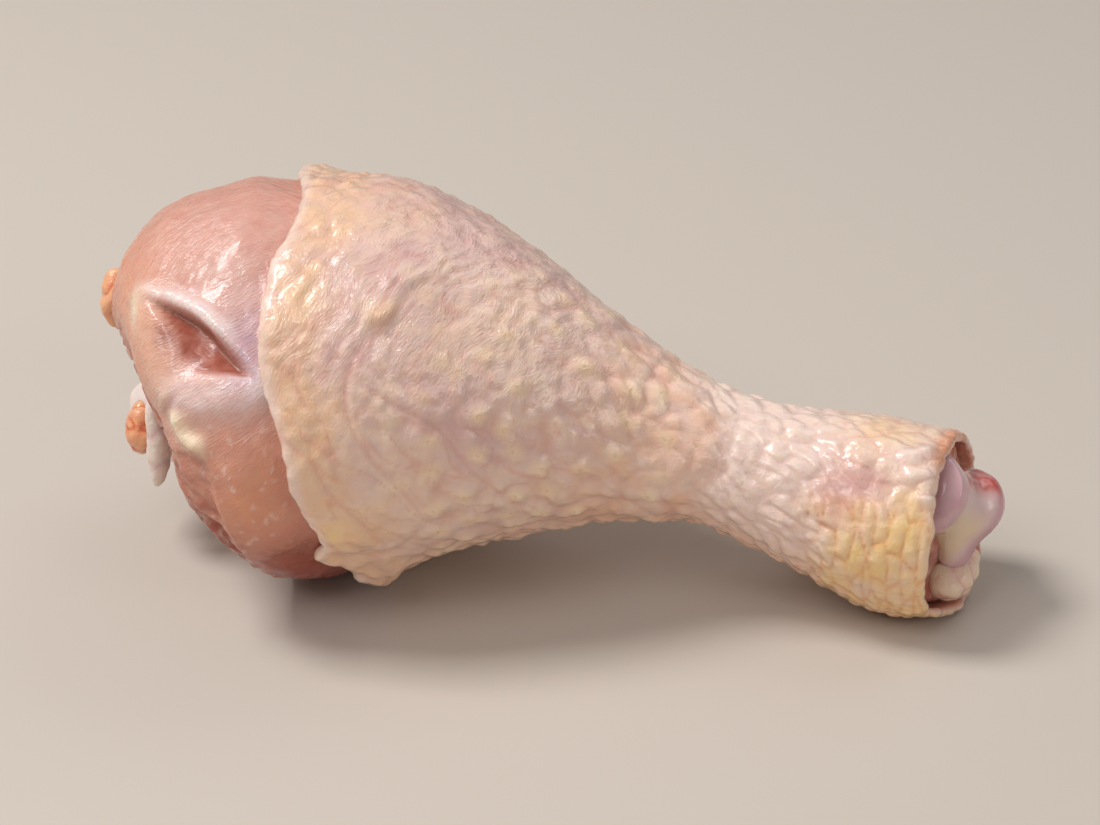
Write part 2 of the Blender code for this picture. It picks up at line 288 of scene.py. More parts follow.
@dataclass(frozen=True)
class Spots:
    """Places on the leg: how far each is from the knee end, and its angle round the leg."""

    form: LegForm
    along: Array
    turn: Array

    @property
    def signed(self) -> Array:
        """The angle, counted from -180 degrees up to 180."""
        return either_side(self.turn)

    def mound(self, centre: tuple[float, float], size: tuple[float, float], lean: float = 0.0) -> Array:
        """A bell-shaped patch on the leg.

        Args:
            centre: The patch's (along, turn).
            size: Its half-length and half-width in millimetres, where it has fallen to exp(-2).
            lean: How far it is turned on the surface, in degrees.

        Returns:
            exp(-2 (a^2 + b^2)), with a and b the distances along and across over their sizes.
        """
        arc = np.radians(either_side(self.turn - centre[1])) * np.maximum(self.form.radius(self.along), 1.0)
        ahead = self.form.walk_to(self.along) - float(self.form.walk_to(centre[0]))
        c, s = math.cos(math.radians(lean)), math.sin(math.radians(lean))
        lengthwise, across = (ahead * c + arc * s) / size[0], (arc * c - ahead * s) / size[1]
        return np.exp(-2.0 * (lengthwise ** 2 + across ** 2))

    def cells(self, size: tuple[float, float], seed: int, scatter: float = 0.85) -> Cells:
        """Spots in rows along the leg, a whole number round it in each row, each moved at random in its cell.

        Args:
            size: The cell's length along the leg and width round it, in millimetres.
            seed: Chooses another scatter.
            scatter: How far a spot may move, as a share of its cell.

        Returns:
            Distances in cell sizes, the millimetre offset from the nearest spot, and a random draw for it.
        """
        form, along, turn = self.form, self.along, self.turn
        long, wide = size
        row = np.floor(along / long)
        radius = np.maximum(form.radius(along), 1.0)
        near = np.full(np.shape(along), np.inf)
        second = near.copy()
        offset = np.zeros((*near.shape, 2))
        draw = np.zeros_like(near)
        for row_step in (-1, 0, 1):
            here = row + row_step
            count = np.maximum(np.round(2 * math.pi * form.radius((here + 0.5) * long) / wide), 3.0)
            shift = bit_share(cell_bits(np.stack([here, here * 0 + 7, here * 0], -1), seed), 0)
            column = np.floor(turn / 360.0 * count + shift)
            for column_step in (-1, 0, 1):
                spot = column + column_step
                bits = cell_bits(np.stack([here, np.mod(spot, count), here * 0 + 3], -1), seed)
                ahead = along - (here + 0.5 + scatter * (bit_share(bits, 0) - 0.5)) * long
                place = (spot + 0.5 + scatter * (bit_share(bits, 1) - 0.5) - shift) / count * 360.0
                arc = np.radians(turn - place) * radius
                distance = np.hypot(ahead / long, arc / wide)
                nearer = distance < near
                second = np.where(nearer, near, np.minimum(second, distance))
                near = np.where(nearer, distance, near)
                offset = np.where(nearer[..., None], np.stack([ahead, arc], -1), offset)
                draw = np.where(nearer, bit_share(bits, 2), draw)
        return Cells(near, second, offset, draw)

    def twisted(self, twist: float, long: float, wide: float) -> Array:
        """Places on an even cylinder wound by `twist` degrees a millimetre, for waves that run slantwise.

        Args:
            twist: Degrees wound per millimetre.
            long: Divides the place along the cylinder.
            wide: Divides the two places across it.

        Returns:
            (along / long, R cos(turn') / wide, R sin(turn') / wide), with turn' = turn - twist * along and R
            the calf's radius at the second place of the profile.
        """
        wound = np.radians(self.turn - twist * self.along)
        radius = self.form.profile[1][2]
        return np.stack([self.along / long, radius * np.cos(wound) / wide, radius * np.sin(wound) / wide], -1)


@dataclass(frozen=True)
class Patch:
    """A mound with its own height: its (along, turn), half-sizes in millimetres, and lean in degrees."""

    centre: tuple[float, float]
    size: tuple[float, float]
    height: float
    lean: float = 0.0

    def on(self, spots: Spots) -> Array:
        """The height times the bell-shaped patch."""
        return self.height * spots.mound(self.centre, self.size, self.lean)


@dataclass(frozen=True)
class Track:
    """A line drawn on the leg through a few (along, turn) points, such as a crease or a tendon."""

    points: tuple[tuple[float, float], ...]

    def measure(self, spots: Spots) -> tuple[Array, Array, Array]:
        """Where each place lies from the line.

        The leg is unrolled round each stretch, with the walk from the knee and the arc as its two axes, and
        the place is dropped square onto the stretch.

        Args:
            spots: The places.

        Returns:
            The distance in millimetres, the share of the line passed (0 to 1), and the side: above 0 where
            the place lies to the left of someone walking the line with the leg's outside up.
        """
        form, turn = spots.form, spots.turn
        count = 6 * len(self.points)
        fine = np.linspace(0, len(self.points) - 1, count)
        line = np.stack([smooth_curve([(k, p[axis]) for k, p in enumerate(self.points)], fine)
                         for axis in range(2)], -1)
        walk = form.walk_to(spots.along)
        best = np.full(np.shape(walk), np.inf)
        share = np.zeros_like(best)
        side = np.zeros_like(best)
        for k, (start, stop) in enumerate(zip(line, line[1:])):
            radius = max(float(form.radius((start[0] + stop[0]) / 2)), 1.0)
            x, x0, x1 = walk, float(form.walk_to(start[0])), float(form.walk_to(stop[0]))
            y = np.radians(either_side(turn - start[1])) * radius
            dx, dy = x1 - x0, math.radians(stop[1] - start[1]) * radius
            t = np.clip(((x - x0) * dx + y * dy) / (dx * dx + dy * dy + 1e-9), 0.0, 1.0)
            away_x, away_y = x - x0 - t * dx, y - t * dy
            distance = np.hypot(away_x, away_y)
            nearer = distance < best
            best = np.where(nearer, distance, best)
            share = np.where(nearer, (k + t) / (count - 1), share)
            side = np.where(nearer, np.sign(dx * away_y - dy * away_x), side)
        return best, share, side


def cone_gap(points: Array, start: Sequence[float], stop: Sequence[float]) -> Array:
    """How far points lie outside a round-ended cone.

    With t the share of the way from start to stop, kept within 0 and 1, it is |p - a - t (b - a)| less the
    radius there.

    Args:
        points: Places, with three numbers on the last axis.
        start: x, y, z and the radius at one end.
        stop: The same at the other end.

    Returns:
        The distance, below 0 inside.
    """
    a, b = np.array(start[:3]), np.array(stop[:3])
    t = np.clip((points - a) @ (b - a) / np.sum((b - a) ** 2), 0.0, 1.0)
    gap = np.linalg.norm(points - a - t[..., None] * (b - a), axis=-1)
    return gap - (start[3] + (stop[3] - start[3]) * t)


def settle_on_table(points: Array, lowest: Array | float = 0.0, softness: float = 0.5) -> Array:
    """Rounds off what would reach lower than a height.

    Args:
        points: Places in leg millimetres.
        lowest: The height, or one for each point.
        softness: How far from it the rounding starts.

    Returns:
        The places, with z = lowest + (d + sqrt(d^2 + softness^2)) / 2 and d = z - lowest.
    """
    above = points[..., 2] - lowest
    height = lowest + 0.5 * (above + np.sqrt(above ** 2 + softness ** 2))
    return np.concatenate([points[..., :2], height[..., None]], -1)


# ----------------------------------------------------------------------------------- meshes and place


class Closing(Enum):
    """How a grid of rows becomes a closed surface; its columns always meet round the leg."""

    CAPPED = "a fan over the first and last row"
    RING = "the last row joins the first"


@dataclass(frozen=True)
class Placing:
    """Puts leg millimetres where the frame has the leg."""

    knee: float
    table: float
    unit: float

    @classmethod
    def from_frame(cls, form: LegForm) -> Placing:
        """Reads the leg's ends and the table's height from the CAD box."""
        low, high = CAD_BOX
        return cls(low[0], low[2], (high[0] - low[0]) / form.length)

    def to_frame(self, points: Array) -> Array:
        """Frame metres of leg millimetres."""
        return np.asarray(points, float) * self.unit + [self.knee, 0.0, self.table]


@dataclass
class Surface:
    """A grid of points in leg millimetres, with marks: numbers or vectors painted on each point."""

    points: Array
    closing: Closing
    marks: dict[str, Array] = field(default_factory=dict)

    def normals(self) -> Array:
        """Unit normals, pointing out.

        Each is the cross product of the step between neighbouring rows and that between neighbouring
        columns. The enclosed volume, a third of the sum of point . normal, tells which way is out.

        Returns:
            A normal for each point.
        """
        grid = self.points
        around = np.roll(grid, -1, axis=1) - np.roll(grid, 1, axis=1)
        if self.closing is Closing.RING:
            down = np.roll(grid, -1, axis=0) - np.roll(grid, 1, axis=0)
        else:
            down = np.gradient(grid, axis=0)
        normal = np.cross(down, around)
        inside = grid.mean(axis=(0, 1))
        out = np.sign(np.sum((grid - inside) * normal))
        return out * normal / np.maximum(np.linalg.norm(normal, axis=-1, keepdims=True), 1e-9)

    def raise_by(self, relief: Array) -> None:
        """Moves every point along its normal."""
        self.points = self.points + relief[..., None] * self.normals()

    def to_object(self, name: str, placing: Placing, finish: bpy.types.Material) -> bpy.types.Object:
        """Makes the closed mesh object.

        Args:
            name: The piece's name.
            placing: Where the leg lies.
            finish: The material.

        Returns:
            A smooth-shaded object at the origin, with its marks as point attributes.
        """
        rows, columns, _ = self.points.shape
        index = np.arange(rows * columns).reshape(rows, columns)
        below = np.roll(index, -1, axis=0) if self.closing is Closing.RING else index[1:]
        above = index if self.closing is Closing.RING else index[:-1]
        quads = np.stack([above, below, np.roll(below, -1, 1), np.roll(above, -1, 1)], -1).reshape(-1, 4)
        points = self.points.reshape(-1, 3)
        marks = {key: value.reshape(len(points), -1) for key, value in self.marks.items()}
        fans = np.zeros((0, 3), int)
        if self.closing is Closing.CAPPED:
            ends = (index[0], index[-1][::-1])
            tips = [len(points), len(points) + 1]
            fans = np.concatenate([np.stack([np.full(columns, tip), ring, np.roll(ring, -1)], -1)
                                   for tip, ring in zip(tips, ends)])
            points = np.concatenate([points] + [self.points[row].mean(0)[None] for row in (0, -1)])
            marks = {key: np.concatenate([value] + [value[ring].mean(0)[None] for ring in ends])
                     for key, value in marks.items()}
        placed = placing.to_frame(points)
        a, b, c, d = (placed[quads[:, k]] for k in range(4))
        turned_in = np.sum(np.cross(c - a, d - b) * (a + b + c + d - 4 * placed.mean(0))) < 0
        if turned_in:
            quads, fans = quads[:, ::-1], fans[:, ::-1]
        mesh = bpy.data.meshes.new(name)
        mesh.from_pydata(placed.tolist(), [], quads.tolist() + fans.tolist())
        for key, value in marks.items():
            kind, slot = ("FLOAT_VECTOR", "vector") if value.shape[1] == 3 else ("FLOAT", "value")
            layer = mesh.attributes.new(key, kind, "POINT")
            layer.data.foreach_set(slot, value.astype(np.float32).ravel())
        mesh.materials.append(finish)
        mesh.shade_smooth()
        mesh.update()
        made = bpy.data.objects.new(name, mesh)
        bpy.context.scene.collection.objects.link(made)
        return made


def ray_surface(origins: Array, directions: Array, field_value: Callable[[Array], Array],
                reach: float) -> Array:
    """Points where rays leave a solid.

    Each ray is walked out in even steps to the first one outside, and the crossing is halved down to.

    Args:
        origins: Ray starts inside the solid.
        directions: Unit directions.
        field_value: A function of points, below 0 inside the solid.
        reach: How far a ray may go.

    Returns:
        The crossing points.
    """
    steps = np.linspace(0.0, reach, 34)
    low = np.zeros(origins.shape[:-1])
    high = np.full(origins.shape[:-1], reach)
    found = np.zeros(origins.shape[:-1], bool)
    for near, far in zip(steps, steps[1:]):
        outside = field_value(origins + directions * far) > 0
        fresh = outside & ~found
        low, high = np.where(fresh, near, low), np.where(fresh, far, high)
        found |= outside
    for _ in range(9):
        middle = (low + high) / 2
        outside = field_value(origins + directions * middle[..., None]) > 0
        low, high = np.where(outside, low, middle), np.where(outside, middle, high)
    return origins + directions * ((low + high) / 2)[..., None]


# ------------------------------------------------------------------------------------------ finishes


def from_srgb(red: int, green: int, blue: int) -> tuple[float, float, float, float]:
    """A scene-linear colour from the usual 0 to 255 numbers."""
    share = np.array([red, green, blue]) / 255.0
    linear = np.where(share <= 0.04045, share / 12.92, ((share + 0.055) / 1.055) ** 2.4)
    return (*(float(c) for c in linear), 1.0)


class Wiring:
    """Lays nodes into one tree and joins them."""

    def __init__(self, tree: bpy.types.NodeTree) -> None:
        """Works on that tree."""
        self.tree = tree

    def node(self, kind: str, feeds: dict[Any, Any] | None = None, **options: Any) -> bpy.types.Node:
        """Adds a node.

        Args:
            kind: The node's type without its "ShaderNode".
            feeds: Sockets, by name or number, with a value or another node's output for each.
            options: The node's own settings.

        Returns:
            The node.
        """
        made = self.tree.nodes.new(f"ShaderNode{kind}")
        for key, value in options.items():
            setattr(made, key, value)
        for key, value in (feeds or {}).items():
            if isinstance(value, bpy.types.NodeSocket):
                self.tree.links.new(value, made.inputs[key])
            else:
                made.inputs[key].default_value = value
        return made

    def math(self, operation: str, *values: Any, clamp: bool = False) -> bpy.types.NodeSocket:
        """The result of a Math node on these values or sockets."""
        made = self.node("Math", dict(enumerate(values)), operation=operation, use_clamp=clamp)
        return made.outputs[0]

    def blend(self, amount: Any, first: Any, second: Any) -> bpy.types.NodeSocket:
        """A colour between two, by an amount from 0 to 1."""
        return self.node("Mix", {0: amount, 6: first, 7: second}, data_type="RGBA").outputs[2]

    def mark(self, name: str) -> bpy.types.NodeSocket:
        """A mark painted on the piece, as a number."""
        return self.node("Attribute", attribute_name=name).outputs["Fac"]

    def millimetres(self) -> bpy.types.NodeSocket:
        """Object coordinates in millimetres."""
        place = self.node("TexCoord").outputs["Object"]
        return self.vector("MULTIPLY", place, (MILLIMETRES_PER_METRE,) * 3)

    def use(self, group: bpy.types.NodeTree, feeds: dict[str, Any]) -> bpy.types.Node:
        """Places a shared group with its own inputs."""
        return self.node("Group", feeds, node_tree=group)

    def vector(self, operation: str, *values: Any) -> bpy.types.NodeSocket:
        """The vector that comes out of a Vector Math node on these values or sockets."""
        return self.node("VectorMath", dict(enumerate(values)), operation=operation).outputs[0]

    def noise(self, place: Any, scale: Any, detail: float, **more: Any) -> bpy.types.Node:
        """A Noise Texture at a place, with its scale and detail; `more` holds its other inputs."""
        return self.node("TexNoise", {"Vector": place, "Scale": scale, "Detail": detail, **more})


def new_group(name: str, inputs: dict[str, Any], outputs: dict[str, str]) -> tuple[Wiring, Any, Any]:
    """An empty node group.

    Args:
        name: The group's name.
        inputs: Input names with their default: a number, a 3-vector or a 4-colour.
        outputs: Output names with "Float" or "Color".

    Returns:
        The group's wiring, its input node's outputs, and its output node's inputs.
    """
    tree = bpy.data.node_groups.new(name, "ShaderNodeTree")
    kinds = {1: "NodeSocketFloat", 3: "NodeSocketVector", 4: "NodeSocketColor"}
    for key, value in inputs.items():
        size = len(value) if isinstance(value, (tuple, list)) else 1
        socket = tree.interface.new_socket(key, in_out="INPUT", socket_type=kinds[size])
        socket.default_value = value
    for key, kind in outputs.items():
        tree.interface.new_socket(key, in_out="OUTPUT", socket_type=f"NodeSocket{kind}")
    way_in, way_out = tree.nodes.new("NodeGroupInput"), tree.nodes.new("NodeGroupOutput")
    return Wiring(tree), way_in.outputs, way_out.inputs


@dataclass(frozen=True)
class SharedEffects:
    """Node groups that several finishes use."""

    tint: bpy.types.NodeTree
    moist_grain: bpy.types.NodeTree
    strands: bpy.types.NodeTree
    pores: bpy.types.NodeTree
    wrinkles: bpy.types.NodeTree

    @classmethod
    def build(cls) -> SharedEffects:
        """Makes each group once."""
        return cls(cls._tint(), cls._moist_grain(), cls._strands(), cls._pores(), cls._wrinkles())

    @staticmethod
    def _wrinkles() -> bpy.types.NodeTree:
        """Fine wrinkles drawn out along a mark's first axis: two sizes of folded noise, in millimetres.

        Returns:
            The group.
        """
        w, give, take = new_group(
            "fine wrinkles", {"Place": (0.0, 0.0, 0.0), "Length": 2.4, "Width": 0.6}, {"Height": "Float"})
        total = None
        for finer, share in ((1.0, 0.65), (2.3, 0.35)):
            long = w.math("DIVIDE", finer, give["Length"])
            wide = w.math("DIVIDE", finer, give["Width"])
            scale = w.node("CombineXYZ", {0: long, 1: wide, 2: wide}).outputs[0]
            noise = w.noise(w.vector("MULTIPLY", give["Place"], scale), 1.0, 1.0).outputs[0]
            folded = w.math("ABSOLUTE", w.math("SUBTRACT", noise, 0.5))
            part = w.math("MULTIPLY", folded, 4.0 * share)
            total = part if total is None else w.math("ADD", total, part)
        w.tree.links.new(total, take["Height"])
        return w.tree

    @staticmethod
    def _tint() -> bpy.types.NodeTree:
        """A tint laid over a colour where a mark says, with a ragged, cloudy edge.

        Returns:
            The group.
        """
        w, give, take = new_group(
            "layered tint",
            {"Under": (1, 1, 1, 1), "Tint": (1, 1, 1, 1), "Amount": 0.0, "Cloud Size": 3.0, "Ragged": 0.5},
            {"Color": "Color"})
        scale = w.math("DIVIDE", 1.0, give["Cloud Size"])
        cloud = w.noise(w.millimetres(), scale, 3.0).outputs[0]
        spread = w.math("MULTIPLY", w.math("SUBTRACT", cloud, 0.5), w.math("MULTIPLY", give["Ragged"], 3.0))
        edge = w.math("ADD", 1.0, spread)
        amount = w.math("MULTIPLY", give["Amount"], edge, clamp=True)
        w.tree.links.new(w.blend(amount, give["Under"], give["Tint"]), take["Color"])
        return w.tree

    @staticmethod
    def _moist_grain() -> bpy.types.NodeTree:
        """Fine uneven grain under a film of moisture: a height in millimetres and a patchy wetness.

        Returns:
            The group.
        """
        w, give, take = new_group(
            "moist grain",
            {"Coarse Size": 1.6, "Coarse Height": 0.1, "Fine Size": 0.5, "Fine Height": 0.03,
             "Stretch": (1.0, 1.0, 1.0), "Patch Size": 6.0},
            {"Height": "Float", "Dryness": "Float"})
        place = w.millimetres()
        pulled = w.vector("MULTIPLY", place, give["Stretch"])
        coarse = w.noise(pulled, w.math("DIVIDE", 1.0, give["Coarse Size"]), 2.0, Distortion=0.4).outputs[0]
        fine = w.noise(pulled, w.math("DIVIDE", 1.0, give["Fine Size"]), 2.5).outputs[0]
        folded = w.math("ABSOLUTE", w.math("SUBTRACT", coarse, 0.5))
        high = w.math("MULTIPLY", w.math("MULTIPLY", folded, 4.0), give["Coarse Height"])
        total = w.math("ADD", high, w.math("MULTIPLY", fine, give["Fine Height"]))
        patch = w.noise(place, w.math("DIVIDE", 1.0, give["Patch Size"]), 3.0).outputs[0]
        w.tree.links.new(total, take["Height"])
        w.tree.links.new(w.math("ADD", w.math("MULTIPLY", patch, 2.2), -0.6, clamp=True), take["Dryness"])
        return w.tree

    @staticmethod
    def _strands() -> bpy.types.NodeTree:
        """Fibres that follow a mark: fine ridges across its value, uneven along them.

        Returns:
            The group.
        """
        w, give, take = new_group(
            "strands", {"Across": 0.0, "Spacing": 0.8, "Waver": 0.5}, {"Height": "Float"})
        place = w.millimetres()
        slow = w.vector("MULTIPLY", place, (0.16,) * 3)
        drift = w.noise(place, 0.3, 2.0).outputs[0]
        across = w.math("ADD", give["Across"], w.math("MULTIPLY", drift, give["Waver"]))
        lift = w.node("CombineXYZ", {0: w.math("DIVIDE", across, give["Spacing"])}).outputs[0]
        ridges = w.noise(w.vector("ADD", slow, lift), 1.0, 2.0).outputs[0]
        w.tree.links.new(ridges, take["Height"])
        return w.tree

    @staticmethod
    def _pores() -> bpy.types.NodeTree:
        """Feather pores from the offset to the nearest one: a dark pit and a pale ring round it.

        Returns:
            The group.
        """
        w, give, take = new_group(
            "feather pores", {"Offset": (0.0, 0.0, 0.0), "Amount": 1.0, "Pit": 0.35, "Ring": 1.9},
            {"Pit": "Float", "Ring": "Float", "Height": "Float"})
        wobble = w.noise(w.millimetres(), 1.4, 1.0).outputs[1]
        moved = w.vector("ADD", w.vector("ADD", wobble, (-0.5,) * 3), give["Offset"])
        away = w.node("VectorMath", {0: moved}, operation="LENGTH").outputs["Value"]
        pit = w.math("SUBTRACT", 1.0, w.math("DIVIDE", away, give["Pit"]), clamp=True)
        ring = w.math("SUBTRACT", 1.0, w.math("DIVIDE", away, give["Ring"]), clamp=True)
        dark = w.math("MULTIPLY", pit, give["Amount"])
        w.tree.links.new(dark, take["Pit"])
        w.tree.links.new(w.math("MULTIPLY", ring, give["Amount"]), take["Ring"])
        w.tree.links.new(w.math("MULTIPLY", dark, -PORE_DEPTH), take["Height"])
        return w.tree


@dataclass(frozen=True)
class Tint:
    """One colour laid over a finish where a mark says."""

    mark: str
    colour: tuple[int, int, int]
    strength: float = 1.0
    cloud: float = 3.0
    ragged: float = 0.3


@dataclass(frozen=True)
class MoistFinish:
    """Raw tissue: layered tints, light that scatters inside, fine relief and a wet gloss."""

    name: str
    base: tuple[int, int, int]
    tints: tuple[Tint, ...] = ()
    mottle: tuple[int, int, int] | None = None
    mottle_strength: float = 0.35
    mottle_size: float = 1.6
    scatter: float = 0.35
    scatter_radius: Colour = (0.0030, 0.0013, 0.0009)
    wet_roughness: float = 0.22
    dry_roughness: float = 0.42
    film: float = 0.5
    film_roughness: float = 0.09
    coarse: tuple[float, float] = (1.6, 0.08)
    fine: tuple[float, float] = (0.45, 0.02)
    stretch: Colour = (1.0, 1.0, 1.0)
    patch: float = 6.0
    strand_mark: str | None = None
    strand_spacing: float = 0.7
    strand_height: float = 0.12
    pores: bool = False
    pore_ring: tuple[int, int, int] = (250, 222, 184)
    pore_pit: tuple[int, int, int] = (214, 150, 122)
    wrinkle_height: float = 0.0
    wrinkle_size: tuple[float, float] = (3.0, 0.9)
    wet_mark: str | None = None

    def build(self, effects: SharedEffects) -> bpy.types.Material:
        """Wires the material.

        Args:
            effects: The shared groups.

        Returns:
            The material.
        """
        made = bpy.data.materials.new(self.name)
        made.use_nodes = True
        w = Wiring(made.node_tree)
        shader = made.node_tree.nodes["Principled BSDF"]
        grain = w.use(effects.moist_grain, {
            "Coarse Size": self.coarse[0], "Coarse Height": self.coarse[1], "Fine Size": self.fine[0],
            "Fine Height": self.fine[1], "Stretch": self.stretch, "Patch Size": self.patch})
        height = grain.outputs["Height"]
        colour: Any = from_srgb(*self.base)
        if self.mottle:
            colour = self._laid(w, effects, colour, Tint("", self.mottle, self.mottle_strength,
                                                         self.mottle_size, 1.2), 1.0)
        for tint in self.tints:
            colour = self._laid(w, effects, colour, tint, w.mark(tint.mark))
        if self.pores:
            offset = w.node("Attribute", attribute_name="pore").outputs["Vector"]
            pore = w.use(effects.pores, {"Offset": offset, "Amount": w.mark("pore_amount")})
            ring = w.math("MULTIPLY", pore.outputs["Ring"], 0.8)
            pit = w.math("MULTIPLY", pore.outputs["Pit"], 0.5)
            colour = w.blend(ring, colour, from_srgb(*self.pore_ring))
            colour = w.blend(pit, colour, from_srgb(*self.pore_pit))
            height = w.math("ADD", height, pore.outputs["Height"])
        if self.wrinkle_height:
            place = w.node("Attribute", attribute_name="grain").outputs["Vector"]
            wrinkle = w.use(effects.wrinkles, {"Place": place, "Length": self.wrinkle_size[0],
                                               "Width": self.wrinkle_size[1]})
            amount = w.math("MULTIPLY", w.mark("grain_amount"), self.wrinkle_height)
            height = w.math("ADD", height, w.math("MULTIPLY", wrinkle.outputs["Height"], amount))
        if self.strand_mark:
            strand = w.use(effects.strands, {"Across": w.mark(self.strand_mark),
                                             "Spacing": self.strand_spacing})
            amount = w.math("MULTIPLY", w.mark(f"{self.strand_mark}_amount"), self.strand_height)
            height = w.math("ADD", height, w.math("MULTIPLY", strand.outputs["Height"], amount))
        bump = w.node("Bump", {"Height": height, "Strength": 1.0, "Distance": 0.001})
        dryness = grain.outputs["Dryness"]
        if self.wet_mark:
            dryness = w.math("SUBTRACT", dryness, w.mark(self.wet_mark), clamp=True)
        span = self.dry_roughness - self.wet_roughness
        roughness = w.math("ADD", w.math("MULTIPLY", dryness, span), self.wet_roughness)
        if isinstance(colour, tuple):
            shader.inputs["Base Color"].default_value = colour
        else:
            made.node_tree.links.new(colour, shader.inputs["Base Color"])
        made.node_tree.links.new(roughness, shader.inputs["Roughness"])
        made.node_tree.links.new(bump.outputs[0], shader.inputs["Normal"])
        shader.inputs["Subsurface Weight"].default_value = self.scatter
        shader.inputs["Subsurface Radius"].default_value = self.scatter_radius
        shader.inputs["Subsurface Scale"].default_value = 1.0
        shader.inputs["IOR"].default_value = FLESH_IOR
        shader.inputs["Coat Weight"].default_value = self.film
        shader.inputs["Coat Roughness"].default_value = self.film_roughness
        shader.inputs["Coat IOR"].default_value = JUICE_IOR
        return made

    @staticmethod
    def _laid(w: Wiring, effects: SharedEffects, under: Any, tint: Tint, amount: Any) -> Any:
        """Lays one tint over a colour."""
        strength = w.math("MULTIPLY", amount, tint.strength)
        return w.use(effects.tint, {"Under": under, "Tint": from_srgb(*tint.colour), "Amount": strength,
                                    "Cloud Size": tint.cloud, "Ragged": tint.ragged}).outputs["Color"]


SKIN_FINISH = MoistFinish(
    "raw skin", (234, 203, 196),
    tints=(Tint("lilac", (216, 176, 172), 0.7, 5.0, 0.6),
           Tint("peach", (244, 194, 162), 0.7, 3.0, 0.5),
           Tint("fat", (242, 200, 162), 0.8, 2.2, 0.5),
           Tint("gold", (254, 214, 152), 0.9, 2.0, 0.4),
           # This pale tint is really pale skin at the knee edge and on the ankle lumps, and partly painted
           # light on the shank.
           Tint("pale", (250, 230, 222), 0.75, 1.5, 0.4),
           # This darker pink tint in the creases is partly the skin's own colour in its folds and partly
           # painted shade.
           Tint("crease", (222, 158, 144), 0.54, 1.2, 0.5),
           Tint("gold_crease", (232, 156, 92), 0.6, 1.2, 0.3),
           Tint("red", (210, 136, 136), 0.75, 1.6, 0.6),
           Tint("orange", (216, 138, 92), 0.8, 1.6, 0.5),
           Tint("inside", (206, 138, 116), 0.9, 2.0, 0.3)),
    mottle=(246, 217, 190), mottle_strength=0.5, mottle_size=1.6,
    scatter=0.3, scatter_radius=(0.0015, 0.0009, 0.0007), wet_roughness=0.13, dry_roughness=0.28,
    coarse=(1.3, 0.05), fine=(0.4, 0.018), pores=True, wrinkle_height=0.085, wrinkle_size=(0.7, 1.0),
    film=0.5, film_roughness=0.09,
    wet_mark="wet")

MUSCLE_FINISH = MoistFinish(
    "raw muscle", (216, 158, 136),
    tints=(Tint("orange", (232, 162, 126), 0.7, 3.0, 0.5),
           # This darker red tint is real flesh in the hollow, the torn strip and the cut face, and painted
           # shade on the underside.
           Tint("deep", (162, 86, 68), 0.92, 2.0, 0.4),
           # This silver-white tint is real sinew on the arch and film, and a painted highlight on the
           # shoulder ridge, round the dome's focus and in the lobe's specks.
           Tint("sinew_and_highlight", (243, 220, 216), 0.87, 2.5, 0.4),
           Tint("film", (206, 172, 186), 0.75, 2.0, 0.5),
           Tint("cream", (252, 230, 200), 0.95, 1.5, 0.25),
           # This dark red tint is real blood on the cut face, the torn strip and the hollow's red spot, and
           # painted shade under the lower lobe.
           Tint("blood_and_shade", (150, 52, 46), 0.85, 1.2, 0.6)),
    mottle=(208, 134, 116), mottle_strength=0.45, mottle_size=2.6,
    scatter=0.4, wet_roughness=0.16, dry_roughness=0.30, coarse=(1.5, 0.05), fine=(0.4, 0.022),
    stretch=(0.35, 1.0, 1.0), strand_mark="strand", strand_spacing=0.8, strand_height=0.30,
    wrinkle_height=0.10, wrinkle_size=(1.8, 0.55), film=0.34, film_roughness=0.12,
    wet_mark="wet")

GRISTLE_FINISH = MoistFinish(
    "gristle", (226, 198, 196),
    tints=(Tint("lilac", (212, 166, 176), 0.9, 2.0, 0.3),
           Tint("cream", (236, 214, 180), 0.85, 2.0, 0.3),
           Tint("red", (192, 88, 80), 0.8, 1.4, 0.7),
           Tint("pale", (240, 228, 222), 0.85, 1.5, 0.3)),
    scatter=0.35, wet_roughness=0.10, dry_roughness=0.2, coarse=(3.0, 0.02), fine=(0.8, 0.004))

SINEW_FINISH = MoistFinish(
    "sinew", (230, 214, 208), tints=(Tint("pink", (222, 176, 162), 0.4, 1.5, 0.6),
                                     Tint("cream", (244, 228, 210), 0.6, 1.5, 0.4)),
    scatter=0.35, wet_roughness=0.16, dry_roughness=0.34, coarse=(1.2, 0.06), fine=(0.4, 0.015))

PAD_FINISH = MoistFinish(
    "ankle pad", (246, 214, 196), tints=(Tint("pink", (232, 170, 150), 0.5, 2.0, 0.7),
                                         Tint("cream", (244, 218, 186), 0.6, 1.5, 0.4)),
    scatter=0.35, wet_roughness=0.16, dry_roughness=0.34, coarse=(1.4, 0.08), fine=(0.4, 0.015))

KNEE_FAT_FINISH = MoistFinish(
    "knee fat", (236, 168, 124), tints=(Tint("red", (212, 112, 78), 0.8, 1.2, 0.6),
                                        Tint("cream", (242, 190, 152), 0.5, 1.2, 0.5)),
    scatter=0.4, wet_roughness=0.18, dry_roughness=0.36, coarse=(1.0, 0.08), fine=(0.4, 0.02))


# -------------------------------------------------------------------------------------------- pieces


